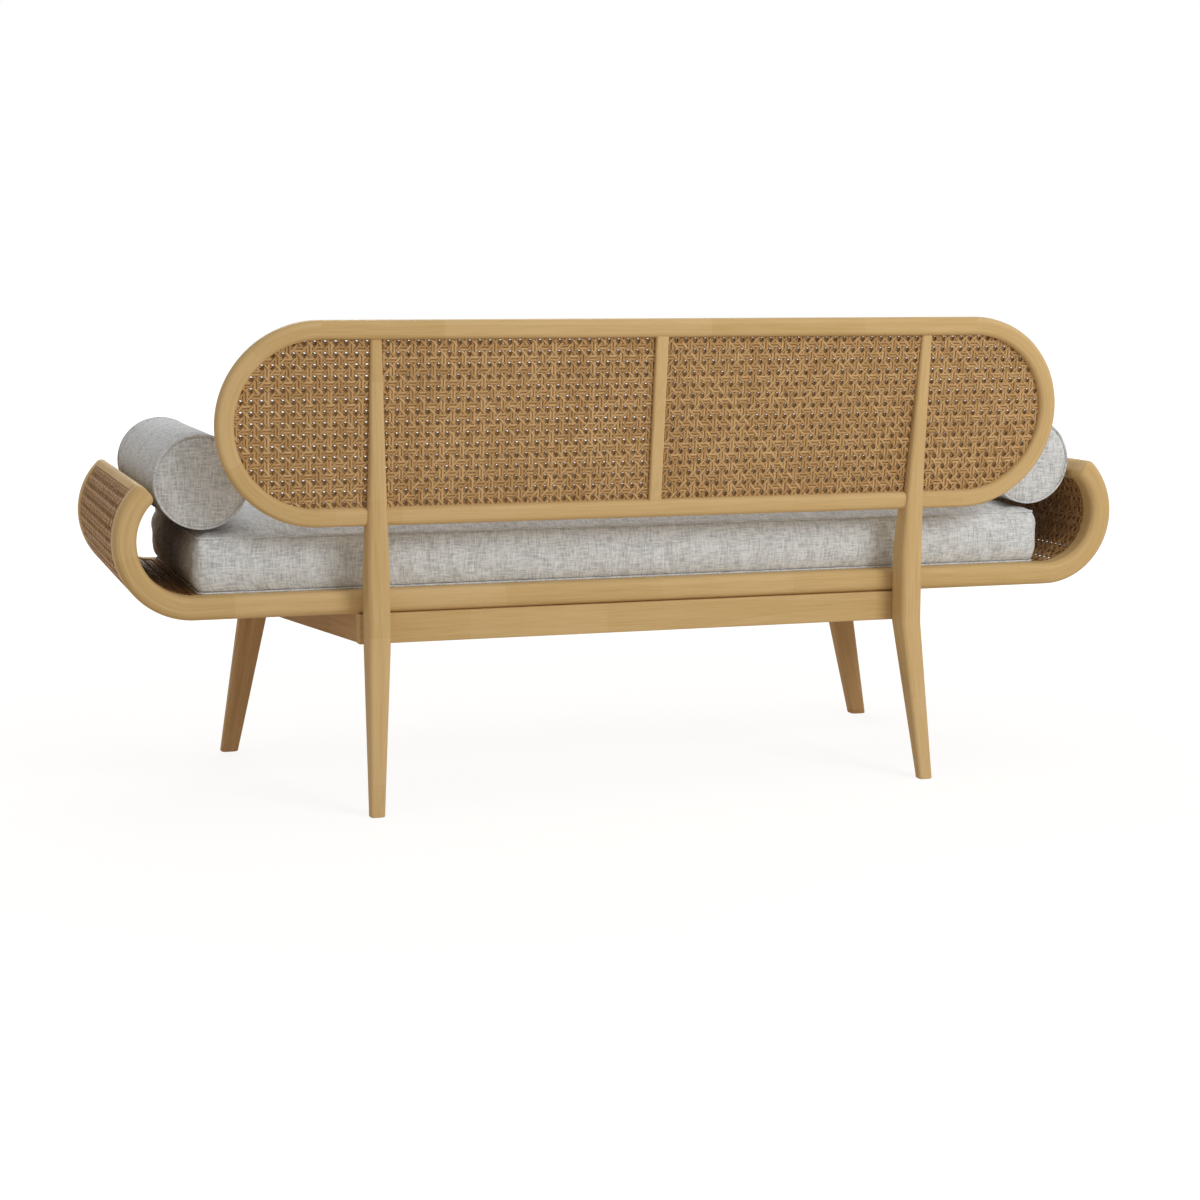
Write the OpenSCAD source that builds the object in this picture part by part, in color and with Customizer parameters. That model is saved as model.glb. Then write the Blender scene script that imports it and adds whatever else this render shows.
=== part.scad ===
// Two-seat bentwood sofa with caned back and arms, a loose seat cushion and two bolsters.
// Origin: on the floor, in the middle of the plan. The seat faces -Y and its left hand is +X.

/* [Overall] */
// Length over the outside of the two arms
overall_l = 1776; // [1650:10:1950]
// Depth from the front rail to the rearmost edge of the back
overall_d = 690; // [660:5:750]
// Height of the top of the back
overall_h = 800; // [770:5:860]

/* [Seat rails and arms] */
// Depth over both seat rails
seat_d = 603; // [575:1:630]
// Height of the middle of the seat rails
rail_z = 340; // [320:1:360]
// Height of a rail's section
rail_h = 38; // [34:1:42]
// Depth of a rail's section
rail_t = 40; // [34:1:46]
// Rounding of a rail's outer long edges
rail_round = 13; // [6:0.5:15]
// Rounding of a rail's long edges on the side of the seat
inner_round = 5; // [2:0.5:8]
// Radius of an arm's bend at the middle of its section
bend_r = 108; // [98:1:118]
// Angle that an arm curls round from the seat
arm_sweep = 140; // [125:1:144]
// Width of the bar along the top of an arm
arm_bar_w = 16; // [15:1:20]
// Rounding of the arm's tip
tip_round = 11; // [6:0.5:12]
// Width of the bar across the seat where an arm starts
crossbar_w = 20; // [16:1:28]
// Height of that bar
crossbar_h = 38; // [37:0.5:38]

/* [Back frame] */
// Lean of the back from upright
back_lean = 7.5; // [5:0.5:9]
// How far the back frame stops short of the outside of an arm
back_end_in = 155; // [110:1:200]
// Height of the back frame along its lean
back_s = 332; // [310:2:350]
// Width of the back frame's members
frame_w = 30; // [26:1:34]
// Thickness of the back frame's members
frame_t = 26; // [22:1:30]
// Rounding of the back frame's long edges
frame_round = 9; // [4:0.5:10]
// Width of the middle stile
mullion_w = 22; // [16:1:30]
// Thickness of the middle stile
mullion_t = 20; // [18:1:24]

/* [Cane] */
// Spacing of the openings in the cane
cane_pitch = 36; // [32:1:48]
// Width of one opening across its flats
cane_gap = 14; // [10:0.5:20]
// Thickness of a cane sheet
cane_t = 1.6; // [1.2:0.1:2]
// Distance between the two sheets of the back
back_cane_apart = 8; // [7:0.5:9]
// Distance between the two sheets of an arm
arm_cane_apart = 32; // [28:0.5:32]
// How deep the edge of a sheet is let into its groove
cane_seat = 5; // [3:0.5:6]
// Clearance round a sheet in its groove
cane_clear = 0.2; // [0.1:0.05:0.3]

/* [Rear legs] */
// Width of a rear leg at the seat
knee_w = 38; // [34:1:44]
// Depth of a rear leg at the seat
knee_d = 49; // [44:1:54]
// Distance of a rear leg's middle from the outside of the arm
knee_in = 416; // [390:1:450]
// How far the knee runs up above the seat rail
knee_rise = 15; // [5:1:40]
// How far a rear foot stands out from its knee
rear_foot_out = 15; // [0:1:30]
// Width of a rear foot
rear_foot_w = 24; // [20:1:32]
// Depth of a rear foot
rear_foot_d = 21; // [18:1:30]
// Depth of a rear leg where it passes the bottom of the back frame
waist_d = 41; // [38:1:44]
// Width of a rear leg where it passes the bottom of the back frame
waist_w = 33.5; // [30:0.5:36]
// Depth of a rear leg a third of the way up the cane
blade_d = 30; // [28:1:34]
// Width of a rear leg a third of the way up the cane
blade_w = 27; // [24:1:30]
// Width of a rear leg's top end
post_top_w = 18.5; // [16:0.5:24]
// Depth of a rear leg's top end
post_top_d = 18; // [14:1:22]
// How far a rear leg's top stands out from its knee
post_top_out = 6.5; // [0:0.5:15]
// How far a rear leg's top sits forward of the back's middle
post_top_forward = 3; // [0:0.5:4]

/* [Front legs] */
// Distance of a front leg's top from the outside of the arm
front_leg_in = 318; // [290:1:370]
// How far a front foot stands out from the leg's top
front_foot_out = 62; // [30:1:80]
// Middle of the front legs behind the front face of the rail
front_leg_back = 66; // [62:1:80]
// Width of a front leg's top
front_top_w = 56; // [48:1:62]
// Depth of a front leg's top
front_top_d = 44; // [38:1:48]
// Width of a front foot
front_foot_w = 31; // [26:1:38]
// Depth of a front foot
front_foot_d = 29; // [24:1:36]

/* [Base and seat] */
// Height of the aprons
apron_h = 50; // [44:1:60]
// Thickness of the aprons
apron_t = 22; // [18:1:24]
// Height of the ledgers that carry the slats
ledger_h = 20; // [16:1:22]
// Width of the front ledger
ledger_front_w = 28; // [26:1:32]
// Width of the rear ledger
ledger_rear_w = 24; // [20:1:30]
// Number of slats
slat_n = 9; // [7:1:9]
// Width of a slat
slat_w = 80; // [60:1:90]
// Thickness of a slat
slat_t = 18; // [14:1:18]
// Width of the seat's cross rails
cross_rail_w = 60; // [50:1:70]
// Distance of a cross rail's middle from the outside of the arm
cross_rail_in = 328; // [310:1:350]
// Length of a corner block's legs
block_leg = 44; // [36:1:50]

/* [Fastenings] */
// Diameter of a leg bolt
bolt_d = 8; // [6:1:8]
// Diameter of a bolt's head
bolt_head_d = 16; // [13:1:18]
// Thickness of a bolt's head
bolt_head_t = 5; // [4:0.5:6]
// Diameter of a dowel
dowel_d = 8; // [6:1:9]
// Length of a dowel
dowel_l = 36; // [30:1:40]
// Diameter of a slat screw
screw_d = 4; // [3:0.5:5]
// Diameter of a slat screw's head
screw_head_d = 8; // [7:0.5:9]
// Length of a slat screw
screw_l = 30; // [24:1:34]

/* [Cushions] */
// How far the seat cushion stops short of the outside of an arm
cushion_end_in = 132.5; // [120:0.5:160]
// Thickness of the seat cushion at its seams
cushion_t = 102; // [85:1:112]
// How far the seat cushion's crown rises above its seams
cushion_crown = 10; // [6:1:16]
// How far the seat cushion stops short of the front of the rail
cushion_front_gap = 27; // [10:1:40]
// Rounding of the seat cushion's upright corners
cushion_corner = 16; // [10:1:30]
// How far the cushion's sides draw in between their seams
side_draw = 3; // [1:0.5:5]
// Diameter of the piping
piping_d = 5; // [4:0.5:7]
// Diameter of a bolster
bolster_d = 155.5; // [140:1:158]
// How far a bolster stops short of the inner face of the front rail
bolster_front_gap = 2.3; // [0:0.1:10]
// Distance of a bolster's middle from the end of the seat cushion
bolster_inset = 14; // [10:0.5:20]
// How far a bolster's end stands behind the seat cushion
bolster_behind = 3; // [0:0.5:6]
// Bulge of a bolster's ends
bolster_bulge = 7; // [3:1:10]
// Space left between soft pieces and what carries them
rest_gap = 0.3; // [0.2:0.05:0.5]

/* [Hidden] */
$fn = 48;
wood = "#c39c62";
dark_wood = "#a98250";
cane_colour = "#b08c5c";
cloth = "#b4b4b1";
steel = "#8d8d90";
slip = 0.15;

// Seat rails: middle of each in depth, and their faces
front_rail_y = -overall_d / 2 + rail_t / 2;
rear_rail_y = -overall_d / 2 + seat_d - rail_t / 2;
front_in = front_rail_y + rail_t / 2;
rear_in = rear_rail_y - rail_t / 2;
knee_y = rear_rail_y + rail_t / 2;
rail_low = rail_z - rail_h / 2;
rail_top = rail_z + rail_h / 2;
bend_x = overall_l / 2 - bend_r - rail_h / 2;
bend_z = rail_z + bend_r;
bend_in = bend_r - rail_h / 2;
bend_out = bend_r + rail_h / 2;
tip_a = arm_sweep - 90;
bar_a = arm_bar_w / bend_r * 180 / PI;

// Places along the length, each kept at its distance from the outside of the arm
back_l = overall_l - 2 * back_end_in;
knee_x = overall_l / 2 - knee_in;
front_leg_x = overall_l / 2 - front_leg_in;
cross_rail_x = overall_l / 2 - cross_rail_in;
cushion_l = overall_l - 2 * cushion_end_in;

// Back frame: reach of a member's rounded section along a leaning direction
function reach(a, b, r, t) = (a / 2 - r) * cos(t) + (b / 2 - r) * sin(t) + r;
back_mid = back_s / 2 - frame_w / 2;
back_z = overall_h - reach(frame_w, frame_t, frame_round, back_lean) - back_mid * cos(back_lean);
back_y = overall_d / 2 - reach(frame_t, frame_w, frame_round, back_lean) - back_mid * sin(back_lean);
end_x = back_l / 2 - back_s / 2;
inner_s = back_s / 2 - frame_w;
function plane_y(z) = back_y + (z - back_z) * tan(back_lean);
function plane_z(s) = back_z + s * cos(back_lean);

// Base
apron_low = rail_low - apron_h;
front_leg_y = -overall_d / 2 + front_leg_back;
knee_out = knee_x + knee_w / 2;
front_out = front_leg_x + front_top_w / 2 + front_foot_out * apron_h / 2 / rail_low;
leg_rear = front_leg_y + front_top_d / 2;
flare = (front_out - 3 - knee_out) / (knee_y - leg_rear);
function apron_x(y) = knee_out + (knee_y - y) * flare;
front_apron_y = front_leg_y - front_top_d / 2 + 4;
slat_low = rail_low + ledger_h;
seat_z = slat_low + slat_t;
slat_span = 2 * (bend_x - crossbar_w);
slat_step = slat_span / slat_n;
function slat_x(i) = (i - (slat_n - 1) / 2) * slat_step;

// Soft pieces
cushion_z = rail_top + rest_gap;
cushion_y0 = -overall_d / 2 + cushion_front_gap;
cushion_y1 = rear_in + rest_gap;
cushion_w = cushion_y1 - cushion_y0;
cushion_y = (cushion_y0 + cushion_y1) / 2;
bolster_x = cushion_l / 2 - bolster_inset;
bolster_y1 = cushion_y1 + bolster_behind;
bolster_l = bolster_y1 - front_in - bolster_front_gap;
bolster_y = bolster_y1 - bolster_l / 2;

// Flat shapes
module rounded_rect(w, h, r) {
    square([w - 2 * r, h], center = true);
    square([w, h - 2 * r], center = true);
    for (x = [-1, 1], y = [-1, 1]) translate([x * (w / 2 - r), y * (h / 2 - r)]) circle(r);
}

module sector(r0, r1, a0, a1) {
    reach_r = r1 * 1.5;
    intersection() {
        difference() {
            circle(r1, $fn = 96);
            circle(r0, $fn = 96);
        }
        polygon(concat([[0, 0]], [for (i = [0:4]) reach_r * polar(a0 + (a1 - a0) * i / 4)]));
    }
}

function polar(a) = [cos(a), sin(a)];
function lerp(a, b, t) = a + (b - a) * t;

// Places a shape on the other side of the sofa when side is -1
module on_side(side) {
    mirror([side < 0 ? 1 : 0, 0, 0]) children();
}

// Section of a seat rail, well rounded on its outer side, which is +Y where out is 1
module rail_section(out) {
    rounded_rect(rail_h, rail_t, rail_round);
    translate([0, -out * rail_t / 4]) rounded_rect(rail_h, rail_t / 2, inner_round);
}

module straight_rail(y) {
    translate([-bend_x, y, rail_z]) rotate([0, 90, 0]) linear_extrude(2 * bend_x)
        rail_section(sign(y));
}

module rear_rail() {
    color(wood) difference() {
        straight_rail(rear_rail_y);
        for (s = [-1, 1]) on_side(s) {
            rail_bolt(slip);
            rail_dowels(rear_rail_y, dowel_d + 2 * slip);
            crossbar_dowels(dowel_d + 2 * slip);
            cane_grooves();
        }
    }
}

module front_rail() {
    color(wood) difference() {
        straight_rail(front_rail_y);
        for (s = [-1, 1]) on_side(s) {
            rail_dowels(front_rail_y, dowel_d + 2 * slip);
            crossbar_dowels(dowel_d + 2 * slip);
            cane_grooves();
        }
    }
}

// Arms: hoops that carry on from the rails, a bar along the tips and one across the seat
module at_bend() {
    translate([bend_x, 0, bend_z]) rotate([90, 0, 0]) children();
}

module arm_outline(r0, r1) {
    a0 = asin(tip_round / (r0 + tip_round));
    a1 = asin(tip_round / (r1 - tip_round));
    sector(r0, r1, -93, tip_a - a0);
    sector(r1 - tip_round, r1, -93, tip_a - a1);
    sector(r0 + tip_round, r1 - tip_round, -93, tip_a);
    translate((r0 + tip_round) * polar(tip_a - a0)) circle(tip_round);
    translate((r1 - tip_round) * polar(tip_a - a1)) circle(tip_round);
}

module hoop_body(y) {
    intersection() {
        at_bend() translate([0, 0, -y]) rotate([0, 0, -90]) rotate_extrude(angle = arm_sweep, $fn = 96)
            translate([bend_r, 0]) rail_section(-sign(y));
        at_bend() translate([0, 0, -y - rail_t]) linear_extrude(2 * rail_t)
            arm_outline(bend_in - 0.4, bend_out + 0.4);
    }
}

module arm_hoop(y) {
    color(wood) difference() {
        hoop_body(y);
        cane_grooves();
        rail_dowels(y, dowel_d + 2 * slip);
        top_bar_dowels(dowel_d + 2 * slip);
    }
}

module arm_top_bar() {
    color(wood) difference() {
        at_bend() translate([0, 0, -rear_in]) linear_extrude(rear_in - front_in)
            intersection() {
                arm_outline(bend_in, bend_out);
                sector(bend_in - 5, bend_out + 5, tip_a - bar_a, tip_a + 5);
            }
        cane_grooves();
        top_bar_dowels(dowel_d + 2 * slip);
    }
}

module arm_crossbar() {
    color(dark_wood) difference() {
        translate([bend_x - crossbar_w, front_in, rail_z - crossbar_h / 2])
            cube([crossbar_w, rear_in - front_in, crossbar_h]);
        cane_grooves();
        crossbar_dowels(dowel_d + 2 * slip);
    }
}

// Arm cane: a sheet bent round the arm, let into grooves on all four edges
sheet_a0 = -90 - cane_seat / bend_r * 180 / PI;
sheet_a1 = tip_a - bar_a + cane_seat / bend_r * 180 / PI;
sheet_y0 = front_in - cane_seat;
sheet_y1 = rear_in + cane_seat;
function arm_sheet_r(side) = bend_r + side * arm_cane_apart / 2;

module arm_sheet(r, t, grow) {
    at_bend() translate([0, 0, -sheet_y1 - grow]) rotate([0, 0, sheet_a0 - grow])
        rotate_extrude(angle = sheet_a1 - sheet_a0 + 2 * grow, $fn = 96)
            translate([r - t / 2, 0]) square([t, sheet_y1 - sheet_y0 + 2 * grow]);
}

module cane_grooves() {
    for (side = [-1, 1]) arm_sheet(arm_sheet_r(side), cane_t + 2 * cane_clear, cane_clear);
}

module arm_cane(side) {
    r = arm_sheet_r(side);
    net_a0 = -90 + 6;
    net_a1 = tip_a - bar_a - 3;
    net_y0 = front_in + 8;
    net_y1 = rear_in - 8;
    rows = floor((net_a1 - net_a0) * PI / 180 * r / cane_pitch);
    cols = floor((net_y1 - net_y0) / cane_pitch);
    row_a = (net_a1 - net_a0) / rows;
    col_y = (net_y1 - net_y0) / cols;
    gap_a = cane_gap / r * 180 / PI;
    color(cane_colour) difference() {
        arm_sheet(r, cane_t, 0);
        at_bend() for (i = [0:rows - 1], j = [0:cols - 1])
            translate([0, 0, -(net_y0 + (j + 0.5) * col_y) - cane_gap / 2])
                rotate([0, 0, net_a0 + (i + 0.5) * row_a - gap_a / 2])
                    rotate_extrude(angle = gap_a, $fn = 96) translate([r - 3, 0]) square([6, cane_gap]);
    }
}

// Back frame: a long ring with round ends, in a plane that leans back. In that plane the
// shapes are drawn with X across and Y up the lean, and they rise towards the seat.
module at_back() {
    translate([0, back_y, back_z]) rotate([90 - back_lean, 0, 0]) children();
}

// Section of a ring member, with X away from the opening and Y through the thickness
module frame_section() {
    difference() {
        rounded_rect(frame_w, frame_t, frame_round);
        for (side = [-1, 1])
            translate([-frame_w / 2 - 1, side * back_cane_apart / 2 - cane_t / 2 - cane_clear])
                square([cane_seat + cane_clear + 1, cane_t + 2 * cane_clear]);
    }
}

// A straight ring member from x0 to x1; up is 1 for the top and -1 for the bottom
module frame_bar(x0, x1, up) {
    at_back() rotate([0, 0, up > 0 ? 0 : 180]) translate([up > 0 ? x0 : -x1, back_mid, 0])
        rotate([90, 0, 90]) linear_extrude(x1 - x0) frame_section();
}

module back_top_rail() {
    color(wood) difference() {
        frame_bar(-end_x, end_x, 1);
        ring_dowels(dowel_d + 2 * slip);
    }
}

module back_bottom_rail() {
    color(wood) difference() {
        frame_bar(-knee_x, knee_x, -1);
        leg_shape();
        mirror([1, 0, 0]) leg_shape();
    }
}

module back_stub() {
    color(wood) difference() {
        frame_bar(knee_x, end_x, -1);
        leg_shape();
        ring_dowels(dowel_d + 2 * slip);
    }
}

module back_end() {
    color(wood) difference() {
        at_back() translate([end_x, 0, 0]) rotate([0, 0, -90]) rotate_extrude(angle = 180, $fn = 96)
            translate([back_mid, 0]) frame_section();
        ring_dowels(dowel_d + 2 * slip);
    }
}

module back_middle_stile() {
    color(wood) difference() {
        at_back() translate([0, -back_mid, 0]) rotate([-90, 0, 0]) linear_extrude(2 * back_mid)
            difference() {
                rounded_rect(mullion_w, mullion_t, 4);
                for (x = [-1, 1], side = [-1, 1])
                    translate([x * mullion_w / 2, side * back_cane_apart / 2])
                        square([2 * (cane_seat + cane_clear), cane_t + 2 * cane_clear], center = true);
            }
        frame_bar(-mullion_w, mullion_w, 1);
        frame_bar(-mullion_w, mullion_w, -1);
    }
}

// Back cane: four bays between the ring, the rear legs and the middle stile, two sheets each
edge_n = 6;
function edge_s(i) = lerp(-inner_s - cane_seat, inner_s + cane_seat, i / edge_n);
function leg_edge(s, out) =
    let (z = plane_z(s)) leg_x(z) + out * (leg_w(z) / 2 + rest_gap);
function mid_bay_x0() = mullion_w / 2 - cane_seat;
function mid_bay() = concat(
    [[mid_bay_x0(), edge_s(0)]],
    [for (i = [0:edge_n]) [leg_edge(edge_s(i), -1), edge_s(i)]],
    [[mid_bay_x0(), edge_s(edge_n)]]);
end_n = 20;
end_r = inner_s + cane_seat;
function end_bay() = concat(
    [for (i = [edge_n:-1:0]) [leg_edge(edge_s(i), 1), edge_s(i)]],
    [for (i = [0:end_n]) [end_x, 0] + end_r * polar(-90 + 180 * i / end_n)]);
function in_end_bay(x, s) =
    x > leg_edge(s, 1) + cane_gap * 0.7 &&
    (x < end_x || norm([x - end_x, s]) < inner_s - cane_gap * 0.6);
function in_mid_bay(x, s) =
    x > mullion_w / 2 + cane_gap * 0.6 && x < leg_edge(s, -1) - cane_gap * 0.7;
function cell(x, s) = [for (k = [0:7]) [x, s] + cane_gap / 2 / cos(22.5) * polar(22.5 + 45 * k)];
rows_n = floor(2 * inner_s / cane_pitch);
row_s = 2 * inner_s / rows_n;
cols_n = floor(end_r / cane_pitch) + floor(end_x / cane_pitch);
function cell_centres() = [for (i = [0:rows_n - 1], j = [0:cols_n])
    [mullion_w / 2 + (j + 0.5) * cane_pitch, -inner_s + (i + 0.5) * row_s]];

module net(outline, centres) {
    holes = [for (c = centres) cell(c[0], c[1])];
    n = len(outline);
    points = concat(outline, [for (h = holes) each h]);
    paths = concat([[for (i = [0:n - 1]) i]],
        [for (h = [0:len(holes) - 1]) [for (k = [0:7]) n + 8 * h + k]]);
    linear_extrude(cane_t) polygon(points, paths);
}

// One sheet of a bay; face is -1 for the rear sheet and 1 for the front sheet
module back_cane(end, face) {
    inside = [for (c = cell_centres())
        if (end ? in_end_bay(c[0], c[1]) : in_mid_bay(c[0], c[1])) c];
    color(cane_colour) at_back() translate([0, 0, face * back_cane_apart / 2 - cane_t / 2])
        net(end ? end_bay() : mid_bay(), inside);
}

// Rear leg: stations up the leg with its height, middle, width and depth
waist_z = plane_z(-back_s / 2);
blade_z = plane_z(-back_s / 5);
post_top_z = plane_z(inner_s + frame_w / 3);
knee_top = rail_top + knee_rise;
heights = [0, apron_low, knee_top, waist_z, blade_z, post_top_z];
middles_x = [knee_x + rear_foot_out, knee_x, knee_x, knee_x + 1, knee_x + post_top_out / 3,
    knee_x + post_top_out];
middles_y = [overall_d / 2 - rear_foot_d / 2, knee_y + knee_d / 2, knee_y + knee_d / 2,
    plane_y(waist_z), plane_y(blade_z), plane_y(post_top_z) - post_top_forward];
widths = [rear_foot_w, knee_w, knee_w, waist_w, blade_w, post_top_w];
depths = [rear_foot_d, knee_d, knee_d, waist_d, blade_d, post_top_d];

// Straight below the knee; above it a curve through the stations that starts upright
function slope(v, k) = k <= 2 ? 0 : k == 5 ? (v[5] - v[4]) / (heights[5] - heights[4])
    : (v[k + 1] - v[k - 1]) / (heights[k + 1] - heights[k - 1]);
function hermite(v, k, z) =
    let (h = heights[k + 1] - heights[k], t = (z - heights[k]) / h)
    v[k] * (2 * t ^ 3 - 3 * t ^ 2 + 1) + v[k + 1] * (3 * t ^ 2 - 2 * t ^ 3)
    + h * slope(v, k) * (t ^ 3 - 2 * t ^ 2 + t) + h * slope(v, k + 1) * (t ^ 3 - t ^ 2);
function along(v, z) =
    z <= heights[1] ? lerp(v[0], v[1], z / heights[1])
    : z <= heights[2] ? v[2]
    : z <= heights[3] ? hermite(v, 2, z)
    : z <= heights[4] ? hermite(v, 3, z)
    : hermite(v, 4, z);
function leg_x(z) = along(middles_x, z);
function leg_y(z) = along(middles_y, z);
function leg_w(z) = along(widths, z);
function leg_d(z) = along(depths, z);

// Ring of points round a rounded rectangle at one height
corner_n = 4;
function rounded_ring(cx, cy, z, w, d, r) = [for (q = [0:3], i = [0:corner_n])
    let (a = 90 * q + 90 * i / corner_n,
        sx = q == 0 || q == 3 ? 1 : -1,
        sy = q < 2 ? 1 : -1)
    [cx + sx * (w / 2 - r) + r * cos(a), cy + sy * (d / 2 - r) + r * sin(a), z]];

function middle(ring) = [for (k = [0:2]) sum([for (p = ring) p[k]]) / len(ring)];
function sum(v) = v * [for (x = v) 1];

// Closed skin through rings with equal numbers of points, listed from the bottom up
module skin(rings) {
    n = len(rings[0]);
    m = len(rings);
    points = concat([for (ring = rings) each ring], [middle(rings[0]), middle(rings[m - 1])]);
    sides = [for (j = [0:m - 2], i = [0:n - 1]) each [
        [n * j + i, n * (j + 1) + (i + 1) % n, n * j + (i + 1) % n],
        [n * j + i, n * (j + 1) + i, n * (j + 1) + (i + 1) % n]]];
    polyhedron(points, concat([for (i = [0:n - 1]) [n * m, i, (i + 1) % n]], sides,
        [for (i = [0:n - 1]) [n * m + 1, n * (m - 1) + (i + 1) % n, n * (m - 1) + i]]),
        convexity = 4);
}

foot_edge = 1.5;
function leg_round(z) = min(leg_w(z), leg_d(z)) * 0.24;
function leg_ring(z) = rounded_ring(leg_x(z), leg_y(z), z, leg_w(z), leg_d(z), leg_round(z));
function above(k, n) = [for (i = [1:n]) lerp(heights[k], heights[k + 1], i / n)];

module leg_shape() {
    foot = rounded_ring(leg_x(0), leg_y(0), 0, rear_foot_w - 2 * foot_edge,
        rear_foot_d - 2 * foot_edge, leg_round(0) - foot_edge / 2);
    levels = concat([foot_edge, apron_low, knee_top], above(2, 4), above(3, 4), above(4, 3));
    skin(concat([foot], [for (z = levels) leg_ring(z)]));
}

module rear_leg() {
    color(wood) difference() {
        leg_shape();
        frame_bar(knee_x - knee_w, knee_x + knee_w, 1);
        rail_bolt(slip);
        apron_bolt(slip);
    }
}

// Front leg: a straight taper that splays outwards
front_round = 0.3;

module front_leg_shape(grow) {
    foot_x = front_leg_x + front_foot_out;
    r1 = front_foot_d * front_round;
    r2 = front_top_d * front_round;
    edge_x = lerp(foot_x, front_leg_x, foot_edge / rail_low);
    t = 1 + grow / (rail_low - foot_edge);
    skin([
        rounded_ring(foot_x, front_leg_y, 0, front_foot_w - 2 * foot_edge,
            front_foot_d - 2 * foot_edge, r1 - foot_edge / 2),
        rounded_ring(edge_x, front_leg_y, foot_edge, front_foot_w, front_foot_d, r1),
        rounded_ring(lerp(edge_x, front_leg_x, t), front_leg_y, rail_low + grow,
            lerp(front_foot_w, front_top_w, t), lerp(front_foot_d, front_top_d, t), lerp(r1, r2, t))]);
}

module front_leg() {
    color(wood) difference() {
        front_leg_shape(0);
        front_bolt(slip);
    }
}

// Base: aprons under the rails, cut to the legs that they meet
module apron_slab(points) {
    translate([0, 0, apron_low]) linear_extrude(apron_h) polygon(points);
}

module rear_apron() {
    y0 = knee_y - apron_t;
    color(wood) difference() {
        apron_slab([[-apron_x(knee_y), knee_y], [-apron_x(y0), y0], [apron_x(y0), y0],
            [apron_x(knee_y), knee_y]]);
        for (s = [-1, 1]) on_side(s) apron_bolt(slip);
    }
}

module front_apron() {
    color(wood) difference() {
        apron_slab([[-front_leg_x, front_apron_y], [-front_leg_x, front_apron_y + apron_t],
            [front_leg_x, front_apron_y + apron_t], [front_leg_x, front_apron_y]]);
        for (s = [-1, 1]) on_side(s) front_leg_shape(1);
    }
}

side_t = apron_t * sqrt(1 + flare ^ 2);

module side_apron() {
    y0 = front_leg_y;
    y1 = knee_y - apron_t;
    color(wood) difference() {
        apron_slab([[apron_x(y0), y0], [apron_x(y1), y1], [apron_x(y1) - side_t, y1],
            [apron_x(y0) - side_t, y0]]);
        front_leg_shape(1);
    }
}

module base_stretcher() {
    y0 = front_apron_y + apron_t;
    y1 = knee_y - apron_t;
    color(dark_wood) translate([-apron_t / 2, y0, apron_low]) cube([apron_t, y1 - y0, apron_h]);
}

// Corner blocks: a wedge in each corner of the base, with a bolt into each front leg
block_low = apron_low + 6;
block_h = apron_h - 10;
function inner_x(y) = apron_x(y) - side_t;

module rear_block() {
    y = knee_y - apron_t;
    difference() {
        translate([0, 0, block_low]) linear_extrude(block_h) polygon([[inner_x(y), y],
            [inner_x(y) - block_leg, y], [inner_x(y - block_leg), y - block_leg]]);
        apron_bolt(slip);
    }
}

// Slanted face of a front block, from its end on the front apron to its end on the side apron
block_y = front_apron_y + apron_t;
block_reach = leg_rear - block_y + block_leg;
slant_a = [front_leg_x - front_top_w / 2 - block_leg, block_y];
slant_b = [inner_x(block_y + block_reach), block_y + block_reach];

module front_block() {
    difference() {
        translate([0, 0, block_low]) linear_extrude(block_h)
            polygon([[inner_x(block_y), block_y], slant_a, slant_b]);
        front_leg_shape(1);
        front_bolt(slip);
    }
}

module corner_blocks() {
    color(dark_wood) for (s = [-1, 1]) on_side(s) {
        rear_block();
        front_block();
    }
}

// Seat: ledgers inside the rails, slats on them and cross rails under the slats
module ledger(y, w) {
    color(dark_wood) difference() {
        translate([-bend_x + crossbar_w, y, rail_low]) cube([slat_span, w, ledger_h]);
        for (i = [0:slat_n - 1]) slat_screw_pair(i, 2 * slip);
    }
}

module seat_cross_rail() {
    color(dark_wood) translate([cross_rail_x - cross_rail_w / 2, front_in + ledger_front_w, rail_low])
        cube([cross_rail_w, rear_in - front_in - ledger_front_w - ledger_rear_w, ledger_h]);
}

slat_end = 1;
slat_inset_front = ledger_front_w / 2;
slat_inset_rear = ledger_rear_w / 2;

module seat_slat(i) {
    color(dark_wood) difference() {
        translate([slat_x(i) - slat_w / 2, front_in + slat_end, slat_low])
            cube([slat_w, rear_in - front_in - 2 * slat_end, slat_t]);
        slat_screw_pair(i, 2 * slip);
    }
}

// Fastenings
module slat_screw(x, y, grow) {
    translate([x, y, seat_z - screw_l]) cylinder(d = screw_d + grow, h = screw_l - 0.5, $fn = 24);
    translate([x, y, seat_z - 3]) cylinder(d = screw_head_d + grow, h = grow > 0 ? 4 : 2.5, $fn = 24);
}

module slat_screw_pair(i, grow) {
    slat_screw(slat_x(i), front_in + slat_inset_front, grow);
    slat_screw(slat_x(i), rear_in - slat_inset_rear, grow);
}

module slat_screws() {
    color(steel) for (i = [0:slat_n - 1]) slat_screw_pair(i, 0);
}

// A bolt along Z with its head below: the shank starts at 0, and grow widens it for a bore
module bolt(length, grow) {
    cylinder(d = bolt_d + 2 * grow, h = length + grow, $fn = 32);
    head = grow > 0 ? 60 : bolt_head_t;
    translate([0, 0, -head]) cylinder(d = bolt_head_d + 4 * grow, h = head, $fn = 32);
}

// Rear legs: one bolt through the rail and one through the corner block and the apron
apron_bolt_z = apron_low + apron_h / 2;
apron_bolt_in = knee_w / 4;
bolt_bite = knee_d * 0.6;
rail_bore_deep = rail_t * 0.35;
block_bite = 12;

module rail_bolt(grow) {
    translate([knee_x, rear_in + rail_bore_deep, rail_z]) rotate([-90, 0, 0])
        bolt(rail_t - rail_bore_deep + bolt_bite, grow);
}

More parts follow.
